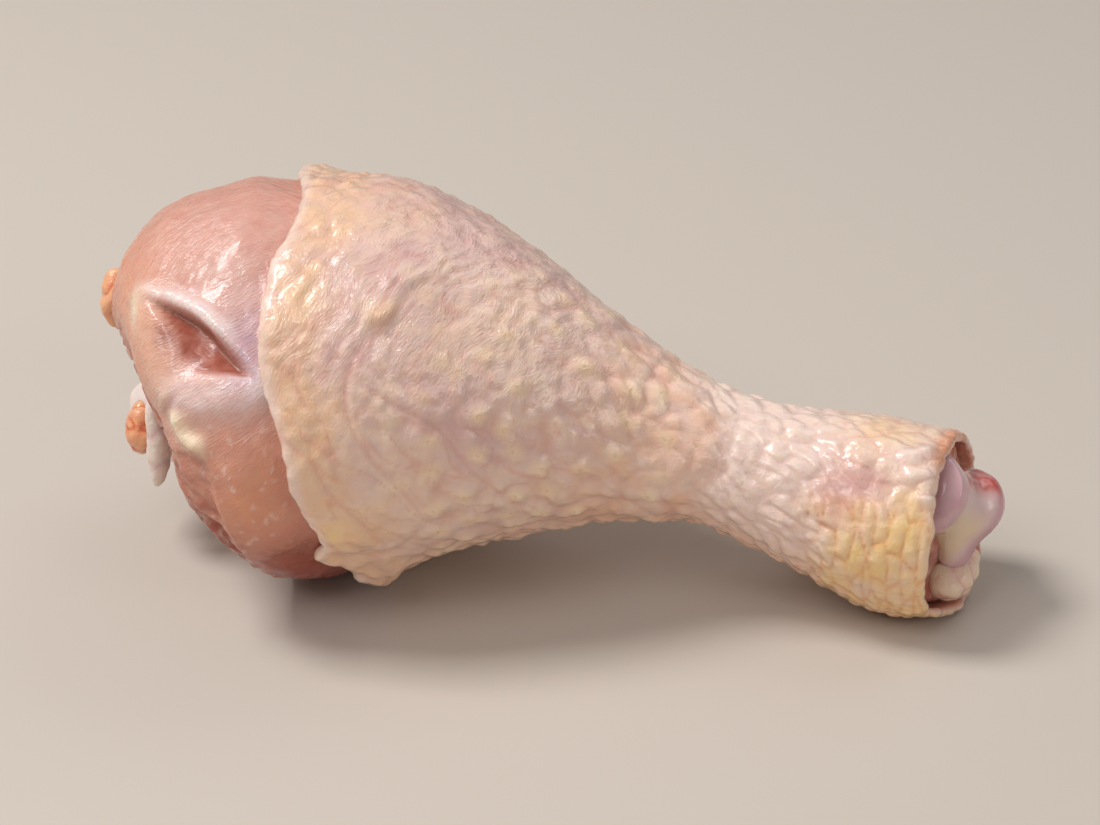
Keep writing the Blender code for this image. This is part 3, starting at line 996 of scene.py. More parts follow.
@dataclass
class Skin:
    """The open sleeve of skin: a rolled fatty edge at the knee, folds, pores, and the ankle's collar."""

    form: LegForm
    columns: int = 372
    outer_rows: int = 232
    knee_rim_rows: int = 8
    ankle_rim_rows: int = 6
    inner_rows: int = 14
    thickness: float = 1.7
    rim_rise: float = 0.75
    rim_length: float = 5.5
    up_fold_height: float = 0.26
    down_fold_height: float = 0.22
    ripple_height: float = 0.12
    pebble_height: float = 0.72
    shank_height: float = 0.60
    collar_height: float = 0.36
    ankle_top_height: float = 0.30
    pore_height: float = 0.40
    overlap_height: float = 0.5
    crease_width: float = 0.4
    sway: float = 1.2
    ripple_cell: tuple[float, float] = (2.0, 3.0)
    pebble_cell: tuple[float, float] = (2.9, 3.1)
    shank_cell: tuple[float, float] = (4.0, 3.2)
    collar_cell: tuple[float, float] = (1.9, 6.8)
    ankle_top_cell: tuple[float, float] = (3.6, 3.2)
    pore_cell: tuple[float, float] = (5.2, 5.4)
    bare_pores: float = 0.25
    crease_tracks: tuple[Track, ...] = (
        Track(((46.3, 42.0), (44.6, 33.0), (43.8, 24.0), (45.0, 14.0), (48.7, 2.0), (52.4, -10.0),
               (56.8, -36.0))),
        Track(((44.3, 28.0), (50.0, 22.0), (56.6, 14.0), (60.5, 0.0), (65.6, -17.0), (69.1, -36.0))),
        Track(((46.3, 42.0), (48.6, 57.0), (51.5, 64.0))),
        Track(((39.0, 10.0), (41.5, -4.0), (46.0, -18.0), (49.5, -38.0))),
        Track(((36.6, 41.0), (36.7, 28.0), (39.6, 17.0))),
        Track(((43.0, -22.0), (46.1, -31.0), (48.6, -34.0))),
    )
    neck_crease: tuple[tuple[float, float], ...] = (
        (-60.0, 88.6), (-13.0, 90.4), (3.0, 91.1), (15.0, 93.2), (34.0, 94.4), (54.0, 94.7), (90.0, 92.0))
    ankle_lumps: tuple[tuple[float, float, float, float], ...] = (
        (120.7, 67.0, 3.0, 1.3), (123.4, 72.0, 2.4, 1.2), (123.9, 57.0, 2.4, 1.3), (121.4, 55.0, 2.2, 1.0),
        (124.0, 45.0, 1.8, 1.0), (117.6, 74.0, 3.4, 0.7), (113.6, 71.0, 3.0, 0.6), (114.6, 58.0, 2.6, 0.8),
        (118.0, 62.0, 2.2, 0.5))
    pale_lumps: int = 5
    swellings: tuple[Patch, ...] = (
        Patch((47.7, 48.0), (3.6, 2.2), 0.9, 40.0), Patch((48.8, 58.0), (3.0, 2.0), 0.6, 40.0),
        Patch((45.4, -52.0), (4.6, 6.0), 1.5), Patch((48.6, -45.0), (2.8, 2.6), 0.8),
        Patch((57.0, -72.0), (12.0, 16.0), -1.2), Patch((47.2, -33.0), (4.5, 1.1), -0.9, -12.0),
        Patch((114.0, 92.0), (12.0, 10.0), 0.5))
    bruise: tuple[Patch, ...] = (
        Patch((113.5, 42.0), (5.0, 4.0), 0.45), Patch((110.7, 29.0), (4.0, 3.2), 0.45),
        Patch((116.5, 50.0), (3.5, 2.8), 0.45))
    golden_spots: tuple[Patch, ...] = (
        Patch((122.4, 38.0), (4.5, 6.0), 0.75), Patch((41.5, -20.0), (3.2, 5.0), 0.8),
        Patch((47.4, 47.0), (3.2, 2.2), 0.55, 40.0), Patch((37.5, 48.0), (3.5, 8.0), 0.4),
        Patch((117.0, 88.0), (9.0, 7.0), 0.5))

    def _grid(self) -> tuple[Array, Array, Array, Array]:
        """The sleeve's cross-section, carried round the leg.

        It runs round the knee edge in a half circle, along the outside, round the ankle's edge in another,
        and back along the inside.

        Returns:
            along, turn, depth under the leg's outside, and how much of the outside's relief a row takes.
        """
        turn = np.arange(self.columns) * 360.0 / self.columns
        ring = self.form.point(self.form.edge_at(turn), turn)
        start = self.form.edge_at(turn) + 0.5 * waves(ring, 7.0, 31) + 0.25 * waves(ring, 2.6, 32)
        end = self.form.end_at(turn) + 0.35 * waves(ring, 5.0, 33)
        rise = self.rim_rise * (1.0 + 0.5 * waves(ring, 9.0, 34))
        half_knee, half_ankle = (self.thickness + rise) / 2, self.thickness / 2
        along, depth, share = [], [], []
        for roll in np.linspace(0, math.pi, self.knee_rim_rows, endpoint=False):
            along.append(start + half_knee * (1 - math.sin(roll)))
            depth.append((self.thickness - rise) / 2 + half_knee * math.cos(roll))
            share.append(turn * 0 + math.sin(roll / 2) ** 2)
        first, last = start + half_knee, end - half_ankle
        for part in np.linspace(0, 1, self.outer_rows):
            along.append(first + (last - first) * part)
            depth.append(-rise * bell(along[-1] - first, self.rim_length))
            share.append(turn * 0 + 1.0)
        for roll in np.linspace(0, math.pi, self.ankle_rim_rows + 1)[1:]:
            along.append(last + half_ankle * math.sin(roll))
            depth.append(half_ankle * (1 - math.cos(roll)) + 0 * turn)
            share.append(turn * 0 + math.cos(roll / 2) ** 2)
        for part in np.linspace(0, 1, self.inner_rows + 1)[1:]:
            along.append(last + (start + half_knee - last) * part)
            depth.append(self.thickness + 0 * turn)
            share.append(turn * 0)
        turns = np.broadcast_to(turn, np.shape(along)).copy()
        return np.array(along), turns, np.array(depth), np.array(share)

    def _regions(self, spots: Spots, points: Array) -> dict[str, Array]:
        """How much each place belongs to each region of the skin.

        Args:
            spots: The sleeve's places on the leg.
            points: The smooth sleeve's points.

        Returns:
            A share from 0 to 1 for each region's name.
        """
        along, turn, signed = spots.along, spots.turn, spots.signed
        cloud = layered_waves(points, 9.0, 41)
        from_edge = along - self.form.edge_at(turn)
        upper = smooth_step(signed + 10 * cloud, 12.0, 40.0) * (1 - smooth_step(signed, 150.0, 175.0))
        ankle = smooth_step(along + 3 * cloud, 103.0, 111.0)
        top_of_ankle = smooth_step(signed + 8 * cloud, 24.0, 46.0) * (1 - smooth_step(signed, 120.0, 150.0))
        neck_end = 1 - smooth_step(along + 2 * cloud, 88.0, 97.0)
        shank_end = 1 - smooth_step(along + 3 * cloud, 108.0, 115.0)
        return {
            "band": 1 - smooth_step(from_edge + 2.5 * cloud, 5.0, 13.0),
            "upper": upper * (1 - smooth_step(along, 70.0, 84.0)),
            "crown": smooth_step(signed, 62.0, 78.0) * (1 - smooth_step(signed, 112.0, 128.0))
            * (1 - smooth_step(from_edge, 12.0, 26.0)),
            "bulb": 1 - smooth_step(along + 3 * cloud, 72.0, 84.0),
            "neck": smooth_step(along + 4 * cloud, 70.0, 80.0) * neck_end,
            "shank": smooth_step(along + 2 * cloud, 88.0, 96.0) * shank_end,
            "collar": ankle * (1 - top_of_ankle),
            "ankle_top": ankle * top_of_ankle,
            "belly": smooth_step(-np.sin(np.radians(turn)) + 0.12 * cloud, 0.45, 0.8),
        }

    @staticmethod
    def _puffs(cells: Cells, roundness: float = 0.5) -> Array:
        """Cushions between creases: a power of the second distance less the first, smoothed off at 1."""
        gap = np.clip((cells.second - cells.near) * 1.3, 0.0, 1.0)
        return (gap * (2.0 - gap)) ** roundness

    @staticmethod
    def _domes(cells: Cells) -> Array:
        """Round pimples: 1 at a cell's centre, falling smoothly to 0 at its edge."""
        return 1 - smooth_step(cells.near, 0.0, 0.9)

    def _relief(self, spots: Spots, points: Array,
                region: dict[str, Array]) -> tuple[Array, dict[str, Array]]:
        """The outside's relief and the marks that follow from it.

        Args:
            spots: The sleeve's places on the leg.
            points: The smooth sleeve's points.
            region: From _regions.

        Returns:
            Height in millimetres, and marks: creases, pore offsets and amounts.
        """
        form, along, turn, signed = self.form, spots.along, spots.turn, spots.signed
        sway = along + self.sway * waves(points, 6.0, 51)
        roll = turn + np.degrees(self.sway * waves(points, 6.0, 52) / form.radius(along))
        swayed = Spots(form, sway, roll)
        leaning, counter_leaning = (Spots(form, sway, roll + lean * (along - start))
                                    for lean, start in ((-3.4, 60.0), (2.0, 100.0)))

        up_slant = np.abs(waves(swayed.twisted(3.4, 9.0, 6.6), 1.0, 61))
        ripple = self._puffs(leaning.cells(self.ripple_cell, 62, 0.9))
        down_slant = np.abs(waves(swayed.twisted(-2.4, 10.0, 5.6), 1.0, 63))
        cross_slant = np.abs(waves(swayed.twisted(-1.2, 5.0, 3.2), 1.0, 64))
        folds = region["upper"] * region["bulb"]
        lower = (1 - region["upper"]) * region["bulb"]
        slant = folds * (self.up_fold_height * up_slant + self.ripple_height * ripple + 0.10 * cross_slant)
        slant += lower * (self.down_fold_height * down_slant + 0.14 * cross_slant) - 0.12

        pebbles = self._domes(swayed.cells(self.pebble_cell, 71))
        broken = 0.45 + 0.55 * smooth_step(waves(points, 4.5, 75), -0.35, 0.35)
        pebble_share = np.clip(region["neck"] + region["belly"] * region["bulb"] + 0.7 * region["crown"]
                               + 0.8 * lower * smooth_step(along, 44.0, 60.0) + 0.3 * lower
                               + 0.5 * region["band"] * region["upper"], 0, 1)
        shank = counter_leaning.cells(self.shank_cell, 72)
        shank_puffs = 0.5 * (self._domes(shank) + self._puffs(shank, 0.9))
        collar = Spots(form, 0.6 * along + 0.4 * sway, 0.6 * turn + 0.4 * roll).cells(self.collar_cell, 73)
        collar_puffs = self._puffs(collar, 0.6)
        top_puffs = self._puffs(swayed.cells(self.ankle_top_cell, 74))

        pore = spots.cells(self.pore_cell, 81, 0.7)
        away = np.hypot(pore.offset[..., 0], pore.offset[..., 1])
        pore_share = (pore.draw > self.bare_pores) * (1 - smooth_step(along, 84.0, 92.0))
        pore_share *= 0.35 + 0.65 * smooth_step(along - 0.25 * signed, 40.0, 58.0)
        pore_share *= 1 - 0.8 * region["band"]
        pore_bump = pore_share * (self.pore_height * bell(away, 1.4) - 0.05 * bell(away, 0.5))

        crease_at = smooth_curve(self.neck_crease, signed)
        past = along - crease_at
        facing = smooth_step(signed, -75.0, -40.0) * (1 - smooth_step(signed, 62.0, 95.0))
        overlap = facing * self.overlap_height * (
            bell(past + 3.6, 3.8) * (1 - smooth_step(past, -1.2, 0.3)) - 0.44 * bell(past - 1.0, 1.8))

        relief = 0.40 * waves(points, 15.0, 91) + 0.12 * waves(points, 7.0, 92)
        relief += slant + pore_bump + overlap
        relief += self.pebble_height * broken * pebble_share * (pebbles - 0.4)
        relief += self.shank_height * region["shank"] * (shank_puffs - 0.5)
        relief += self.collar_height * region["collar"] * (collar_puffs - 0.5)
        relief += self.ankle_top_height * region["ankle_top"] * (top_puffs - 0.5)
        relief += 0.16 * (1 - 0.6 * pebble_share) * layered_waves(points, 2.2, 93, 2)
        relief += 0.07 * waves(points, 1.3, 94)
        lines = np.zeros_like(along)
        for track in self.crease_tracks:
            distance, share, _ = track.measure(spots)
            fade = smooth_step(share, 0.0, 0.12) * (1 - smooth_step(share, 0.8, 1.0))
            groove = bell(distance, self.crease_width)
            lines = np.maximum(lines, 0.7 * fade * groove)
            relief += fade * (0.08 * bell(distance - 1.2, 0.9) - 0.16 * groove)
        for x, t, size, height in self.ankle_lumps:
            relief += height * spots.mound((x, t), (size, size))
        relief += sum(patch.on(spots) for patch in self.swellings)

        # Crease colour: a darker pink in the gaps between cushions and along the crease lines, partly the
        # skin's pinker folds and partly painted shade; under the neck's overlapping fold it is painted shade.
        puff_gap = np.maximum.reduce([
            0.9 * broken * pebble_share * (1 - pebbles) ** 2, region["shank"] * (1 - shank_puffs) * 0.3,
            region["ankle_top"] * (1 - top_puffs) * 0.7,
            0.75 * folds * (1 - smooth_step(up_slant, 0.0, 0.16)), 0.4 * folds * (1 - ripple) ** 1.5,
            0.8 * lower * (1 - smooth_step(down_slant, 0.0, 0.12)), lines,
            0.4 * facing * bell(past - 0.3, 0.9)])
        fade_pit = 1 - smooth_step(away, 1.6, 2.2)
        offset = np.concatenate([pore.offset, np.zeros((*away.shape, 1))], -1)
        marks = {
            "grain": swayed.twisted(3.4, 1.0, 1.0), "grain_amount": 0.35 + 0.65 * folds,
            "crease": puff_gap, "gold_crease": region["collar"] * (1 - collar_puffs) ** 1.6,
            "pore": offset, "pore_amount": pore_share * fade_pit,
        }
        return relief, marks

    def _colours(self, spots: Spots, points: Array, region: dict[str, Array]) -> dict[str, Array]:
        """Where each tint lies on the skin.

        Args:
            spots: The sleeve's places on the leg.
            points: The smooth sleeve's points.
            region: From _regions.

        Returns:
            A mark from 0 to 1 for each tint's name.
        """
        form, along, turn, signed = self.form, spots.along, spots.turn, spots.signed
        cloud = layered_waves(points, 11.0, 101)
        small = layered_waves(points, 4.0, 102, 2)
        fat = np.clip(region["band"] * (0.85 + 0.5 * small) + 0.35 * region["crown"]
                      + 0.25 * smooth_step(cloud, 0.0, 0.7) * region["bulb"], 0, 1)
        fat = np.maximum(fat, 0.9 * spots.mound((46.5, -52.0), (7.0, 8.0)))
        gold = np.clip(region["collar"] * smooth_step(along, 102.0, 112.0)
                       * (0.75 + 0.5 * small) * smooth_step(signed, -88.0, -40.0)
                       * (1 - smooth_step(signed + 16 * cloud, 120.0, 160.0)), 0, 1)
        gold = np.maximum.reduce([gold, *(spot.on(spots) for spot in self.golden_spots)])
        lilac = np.clip(0.5 * smooth_step(signed, 68.0, 86.0) * (1 - smooth_step(signed, 118.0, 150.0))
                        * smooth_step(along, 38.0, 46.0) * (1 - smooth_step(along, 78.0, 92.0))
                        + 0.45 * region["bulb"] * smooth_step(cloud, -0.1, -0.6)
                        + 0.5 * spots.mound((60.0, 12.0), (10.0, 10.0))
                        + 0.6 * region["upper"] * (1 - smooth_step(along, 52.0, 68.0)), 0, 1)
        lilac = np.maximum(lilac, 0.6 * spots.mound((112.0, 36.0), (6.0, 9.0)))
        red = sum(spot.on(spots) for spot in self.bruise)
        peach = np.clip(region["neck"] * (0.42 + 0.6 * small)
                        + 0.4 * spots.mound((91.5, 10.0), (4.0, 12.0))
                        + 0.5 * region["belly"]
                        + 0.45 * region["shank"] * smooth_step(signed, 15.0, -30.0), 0, 1)
        rim = smooth_step(along - form.end_at(turn), -3.0, -0.6)
        orange = rim * smooth_step(signed, 50.0, 80.0) * (1 - smooth_step(signed, 150.0, 175.0))
        # On the shank the pale tint is partly its own pinkish-white skin and partly painted light that
        # brightens its lower front.
        pale = np.clip(0.6 * region["shank"] * smooth_step(signed, -60.0, -10.0)
                       * (1 - smooth_step(signed, 130.0, 160.0)) + 0.08 * region["upper"], 0, 1)
        for x, t, size, _ in self.ankle_lumps[:self.pale_lumps]:
            pale = np.maximum(pale, 0.9 * spots.mound((x, t), (size, size)))
        pale = np.maximum(pale, 0.8 * smooth_step(along - form.edge_at(turn), 2.6, 0.4))
        wet = 0.25 * region["shank"] + 0.35 * region["ankle_top"] + 0.3 * region["upper"]
        return {"fat": fat, "gold": gold, "lilac": lilac, "red": red, "peach": peach, "orange": orange,
                "pale": pale, "wet": wet}

    def build(self, placing: Placing, effects: SharedEffects) -> bpy.types.Object:
        """Builds, dresses and mounts the skin.

        Args:
            placing: Where the frame has the leg.
            effects: The shared node groups.

        Returns:
            The finished object.
        """
        along, turn, depth, outer = self._grid()
        spots = Spots(self.form, along, turn)
        smooth = self.form.point(along, turn, depth)
        surface = Surface(smooth, Closing.RING)
        region = self._regions(spots, smooth)
        relief, marks = self._relief(spots, smooth, region)
        marks.update(self._colours(spots, smooth, region))
        marks = {key: value if value.ndim == 3 else value * outer for key, value in marks.items()}
        marks["inside"] = 1 - smooth_step(outer, 0.0, 0.5)
        surface.raise_by(relief * outer + 0.15 * waves(smooth, 3.0, 111) * (1 - outer))
        surface.points = settle_on_table(surface.points)
        surface.marks = marks
        made = surface.to_object("skin_sleeve", placing, SKIN_FINISH.build(effects))
        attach(made, BODY)
        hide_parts("skin")
        return made


@dataclass
class Muscle:
    """The bare calf muscle: trimmed knee end, lobes, tendons and films, and its length inside the skin."""

    form: LegForm
    columns: int = 400
    bare_rows: int = 150
    hidden_rows: int = 26
    end_rows: int = 14
    first_ring: float = 0.4
    rim_depth: float = 1.55
    under_skin: float = 2.2
    short_of_end: float = 2.4
    end_bulge: float = 1.6
    arch: Track = Track(((9.4, 54.5), (15.5, 51.0), (20.9, 46.5), (24.4, 42.0), (27.7, 37.0), (30.5, 31.5),
                         (33.0, 25.0)))
    column: Track = Track(((12.6, 51.0), (14.3, 37.0), (16.4, 25.0), (18.6, 19.0)))
    shoulder: Track = Track(((19.8, 21.5), (25.3, 22.5), (31.5, 25.0)))
    fold: Track = Track(((19.4, 19.0), (19.8, 13.0), (21.6, 9.0), (25.2, 8.0)))
    lobe_edge: Track = Track(((23.0, 10.0), (23.9, 6.0), (24.9, -8.0), (26.6, -26.0), (28.0, -44.0)))
    dome_focus: tuple[float, float] = (25.0, 52.0)
    swellings: tuple[Patch, ...] = (
        Patch((8.0, 86.0), (13.0, 36.0), 2.0), Patch((6.0, 28.0), (9.0, 12.0), -3.4),
        Patch((11.5, 3.0), (9.0, 10.0), -3.2), Patch((20.0, -32.0), (8.0, 12.0), 0.9),
        Patch((31.0, -8.0), (8.0, 16.0), 0.9), Patch((26.0, 66.0), (7.0, 6.0), 0.5))
    hollow_depth: float = 3.1
    hollow_reach: float = 9.0
    arch_height: float = 0.9
    arch_width: float = 1.25
    column_height: float = 0.9
    column_width: float = 2.6
    shoulder_height: float = 0.8
    shoulder_width: float = 2.8
    fold_height: float = 1.3
    fold_width: float = 1.15
    fold_colour_width: float = 1.9
    torn_depth: float = 1.3
    torn_height: float = 0.7

    def _grid(self) -> tuple[Array, Array, Array, Array]:
        """Rows from the knee end over the bare calf and under the skin to just short of the ankle's end.

        Returns:
            along, turn, depth under the leg's outside, and how far a row is under the skin (0 to 1).
        """
        turn = np.arange(self.columns) * 360.0 / self.columns
        edge = self.form.edge_at(turn) + 1.2
        first, last = self.form.walk_to(self.first_ring), self.form.walk_to(edge)
        along = [self.form.walk_from_knee(first + (last - first) * part)
                 for part in np.linspace(0, 1, self.bare_rows)]
        end = self.form.end_at(turn) - self.short_of_end
        along += [edge + (end - edge) * part for part in np.linspace(0, 1, self.hidden_rows + 1)[1:]]
        along_grid = np.array(along)
        from_edge = along_grid - edge
        depth = self.rim_depth * smooth_step(from_edge, -9.0, -1.5)
        depth += (self.under_skin + 0.3 - self.rim_depth) * smooth_step(from_edge, -0.5, 3.0)
        hidden = smooth_step(from_edge, -0.5, 2.5)
        return along_grid, np.broadcast_to(turn, along_grid.shape).copy(), depth, hidden

    def _torn(self, spots: Spots) -> Array:
        """How much a place belongs to the torn strip left of the lower lobe."""
        distance, share, side = self.lobe_edge.measure(spots)
        left = smooth_step(-side * distance, -0.8, 1.6) * bell(distance, 7.5)
        return left * smooth_step(share, 0.06, 0.6) * (1 - smooth_step(share, 0.8, 1.0))

    def _relief(self, spots: Spots, points: Array) -> tuple[Array, dict[str, Array]]:
        """The bare muscle's relief and marks.

        Args:
            spots: The muscle's places on the leg.
            points: The smooth muscle's points.

        Returns:
            Height in millimetres and the tint marks.
        """
        form, along, signed = self.form, spots.along, spots.signed
        arch, arch_share, arch_side = self.arch.measure(spots)
        column, column_share, _ = self.column.measure(spots)
        shoulder, _, _ = self.shoulder.measure(spots)
        fold, fold_share, _ = self.fold.measure(spots)
        torn = self._torn(spots)
        ends = smooth_step(arch_share, 0.0, 0.2)
        below_arch = smooth_step(-arch_side * arch, 0.6, 2.2)
        reach = self.hollow_reach * np.sin(math.pi * smooth_step(arch_share, 0.04, 0.98)) ** 0.7
        hollow = below_arch * (1 - smooth_step(arch, 0.2 * reach, 1.1 * reach + 0.01))
        hollow_floor = below_arch * (1 - smooth_step(arch, 0.74 * reach, 0.92 * reach + 0.01))
        arch_ridge = ends * bell(arch, self.arch_width)
        column_ridge = bell(column, self.column_width) * (1 - smooth_step(column_share, 0.9, 1.0))
        shoulder_ridge = bell(shoulder, self.shoulder_width)
        fold_ridge = bell(fold, self.fold_width) * smooth_step(fold_share, 0.0, 0.25)
        fold_ridge *= 1 - smooth_step(fold_share, 0.75, 1.0)
        fold_colour = bell(fold, self.fold_colour_width) * smooth_step(fold_share, 0.0, 0.2)
        fold_colour *= 1 - smooth_step(fold_share, 0.8, 1.0)
        face = smooth_step(form.beyond_face(points) + 1.2 * waves(points, 4.0, 121), -3.0, -0.6)
        focus_arc = np.radians(signed - self.dome_focus[1]) * np.maximum(form.radius(along), 1.0)
        from_focus = np.hypot(form.walk_to(along) - float(form.walk_to(self.dome_focus[0])), focus_arc * 0.8)
        tear_stripes = waves(spots.twisted(-0.6, 8.0, 1.9), 1.0, 122)

        relief = sum(swelling.on(spots) for swelling in self.swellings)
        relief += self.arch_height * arch_ridge - self.hollow_depth * hollow
        relief += self.column_height * column_ridge + self.shoulder_height * shoulder_ridge
        relief += self.fold_height * fold_ridge + torn * (self.torn_height * tear_stripes - self.torn_depth)
        relief += 0.35 * waves(points, 11.0, 123) + 0.14 * waves(points, 4.5, 124)
        bundles = np.abs(waves(points @ self._face_axes(), (3.4, 2.6, 9.0), 125))
        relief += face * (0.5 * np.minimum(bundles * 3, 1.0) - 0.3)
        strings = np.abs(waves(spots.twisted(1.6, 6.0, 2.4), 1.0, 126))
        arcs = np.stack([from_focus / 1.3, focus_arc / 5.0, along / 9.0], -1)
        relief += 0.10 * (1 - face) * smooth_step(signed, 20.0, 50.0) * np.abs(waves(arcs, 1.0, 128))
        relief += 0.07 * (1 - hollow_floor) * layered_waves(points, 1.7, 129, 2)
        relief += 0.12 * (1 - face) * strings * smooth_step(signed, 40.0, 10.0)

        film = spots.mound((29.5, 36.0), (4.6, 9.0)) * (1 - hollow_floor)
        highlight = bell(from_focus - 2.0, 5.0)
        # Silver-white colour: real sinew on the arch and the film; on the shoulder ridge and round the dome's
        # focus (highlight) it is a painted highlight.
        sinew_and_highlight = np.clip(1.0 * arch_ridge + 0.7 * shoulder_ridge + 0.45 * film + 0.25 * highlight
                         + 0.22 * smooth_step(from_focus, 26.0, 12.0), 0, 1)
        sinew_and_highlight *= (1 - 0.95 * hollow_floor) * (1 - 0.8 * spots.mound((11.0, 28.0), (8.0, 14.0)))
        cream = np.clip(0.95 * fold_colour + 0.22 * column_ridge
                        + face * (1 - np.minimum(bundles * 4, 1.0)) * 0.32
                        + 0.75 * spots.mound((11.6, 47.0), (2.2, 3.6)), 0, 1)
        # Painted shade: underside darkens the calf towards the table with the deep tint; the hollow's floor,
        # the torn strip and the cut face are really darker flesh.
        underside = smooth_step(signed, -10.0, -38.0) * smooth_step(signed, -178.0, -120.0)
        deep = np.clip(0.95 * hollow_floor + 0.12 * torn * (0.6 + 0.5 * tear_stripes)
                       + 0.55 * face + 0.95 * underside, 0, 1)
        deep = np.maximum(deep, 0.8 * spots.mound((17.6, 38.0), (3.0, 2.6)))
        orange = np.clip(0.9 * spots.mound((30.0, -6.0), (9.0, 18.0))
                         + 0.7 * spots.mound((9.0, 62.0), (9.0, 16.0))
                         + 1.0 * spots.mound((11.0, 28.0), (9.0, 15.0)), 0, 1)
        # Painted glints: small pale specks over the lower lobe, laid in the silver-white tint, with a slight
        # rise.
        glint_specks = smooth_step(layered_waves(points, 1.3, 136, 2), 0.62, 0.70) * smooth_step(signed, 34.0, 20.0)
        glint_specks *= spots.mound((28.0, 0.0), (12.0, 26.0)) * (1 - hollow_floor)
        relief += 0.10 * glint_specks
        sinew_and_highlight = np.maximum(sinew_and_highlight, 0.5 * glint_specks)
        blood_and_shade = 0.5 * face * smooth_step(waves(points, 5.0, 127), 0.1, 0.7)
        blood_and_shade += 0.5 * torn * smooth_step(tear_stripes, 0.0, -0.5)
        # Painted shade: a darker red laid along the underside of the lower lobe, towards the table.
        blood_and_shade += 0.45 * smooth_step(signed, -20.0, -44.0) * smooth_step(signed, -178.0, -120.0)
        blood_and_shade = np.maximum(blood_and_shade, 0.4 * spots.mound((16.4, 39.0), (1.6, 2.4)))
        strand_amount = smooth_step(signed, 50.0, 62.0) * (1 - face) * smooth_step(along, 6.0, 14.0)
        strand_amount = strand_amount * (1 - smooth_step(signed, 150.0, 175.0))
        wet = np.clip(0.9 * shoulder_ridge + 0.7 * arch_ridge + 0.5 * highlight, 0, 1) - 0.8 * hollow_floor
        marks = {"sinew_and_highlight": sinew_and_highlight, "cream": cream, "deep": deep, "orange": orange, "blood_and_shade": blood_and_shade,
                 "film": film, "grain": spots.twisted(1.6, 1.0, 1.0),
                 "grain_amount": (1 - face) * (1 - 0.8 * hollow_floor) * smooth_step(signed, -60.0, 20.0),
                 "strand": from_focus, "strand_amount": strand_amount, "wet": wet}
        return relief, marks

    def _face_axes(self) -> Array:
        """Three square axes as columns, the last square to the knee's cut face."""
        normal = np.array(self.form.face_normal) / np.linalg.norm(self.form.face_normal)
        side = np.cross(normal, [0.0, 0.0, 1.0])
        side /= np.linalg.norm(side)
        return np.stack([side, np.cross(normal, side), normal], -1)

    def _close_ankle(self, surface: Surface) -> None:
        """Adds the rows that dome over the ankle's end, with their raw colours.

        Row k shrinks the last ring towards its middle by the cosine of a rising angle and moves it out by
        the bulge times its sine.

        Args:
            surface: The muscle, whose last row is the ring at the ankle.
        """
        rim = surface.points[-1]
        middle = rim.mean(axis=0)
        rows = []
        for angle in np.linspace(0, math.pi / 2, self.end_rows + 1)[1:-1]:
            row = middle + (rim - middle) * math.cos(angle)
            row[:, 0] += self.end_bulge * math.sin(angle)
            rows.append(row)
        end = np.array(rows)
        end[..., 0] += 0.7 * waves(end, 3.2, 131) + 0.3 * waves(end, 1.4, 132)
        surface.points = np.concatenate([surface.points, end])
        height = (end[..., 2] - middle[2]) / 12.0
        lump = waves(end, 3.0, 133)
        painted = {
            "blood_and_shade": np.clip(smooth_step(height, 0.3, -0.4) * 0.5 + 0.6 * lump, 0, 1),
            "orange": smooth_step(height, 0.1, 0.8), "deep": np.clip(0.5 + 0.5 * lump, 0, 1),
            "cream": smooth_step(waves(end, 2.4, 134), 0.2, 0.6) * 0.5, "wet": end[..., 0] * 0 + 0.6}
        for key, value in surface.marks.items():
            more = painted.get(key, np.zeros((*end.shape[:2], *value.shape[2:])))
            surface.marks[key] = np.concatenate([value, more])

    def build(self, placing: Placing, effects: SharedEffects) -> bpy.types.Object:
        """Builds, dresses and mounts the muscle.

        Args:
            placing: Where the frame has the leg.
            effects: The shared node groups.

        Returns:
            The finished object.
        """
        along, turn, depth, hidden = self._grid()
        smooth = self.form.point(along, turn, depth)
        surface = Surface(self.form.trim_to_face(smooth), Closing.CAPPED)
        relief, surface.marks = self._relief(Spots(self.form, along, turn), smooth)
        surface.raise_by(relief * (1 - hidden))
        lowest = float(self.under_skin) * hidden
        surface.points = settle_on_table(surface.points, lowest)
        self._close_ankle(surface)
        made = surface.to_object("calf_muscle", placing, MUSCLE_FINISH.build(effects))
        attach(made, BODY)
        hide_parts("muscle")
        return made


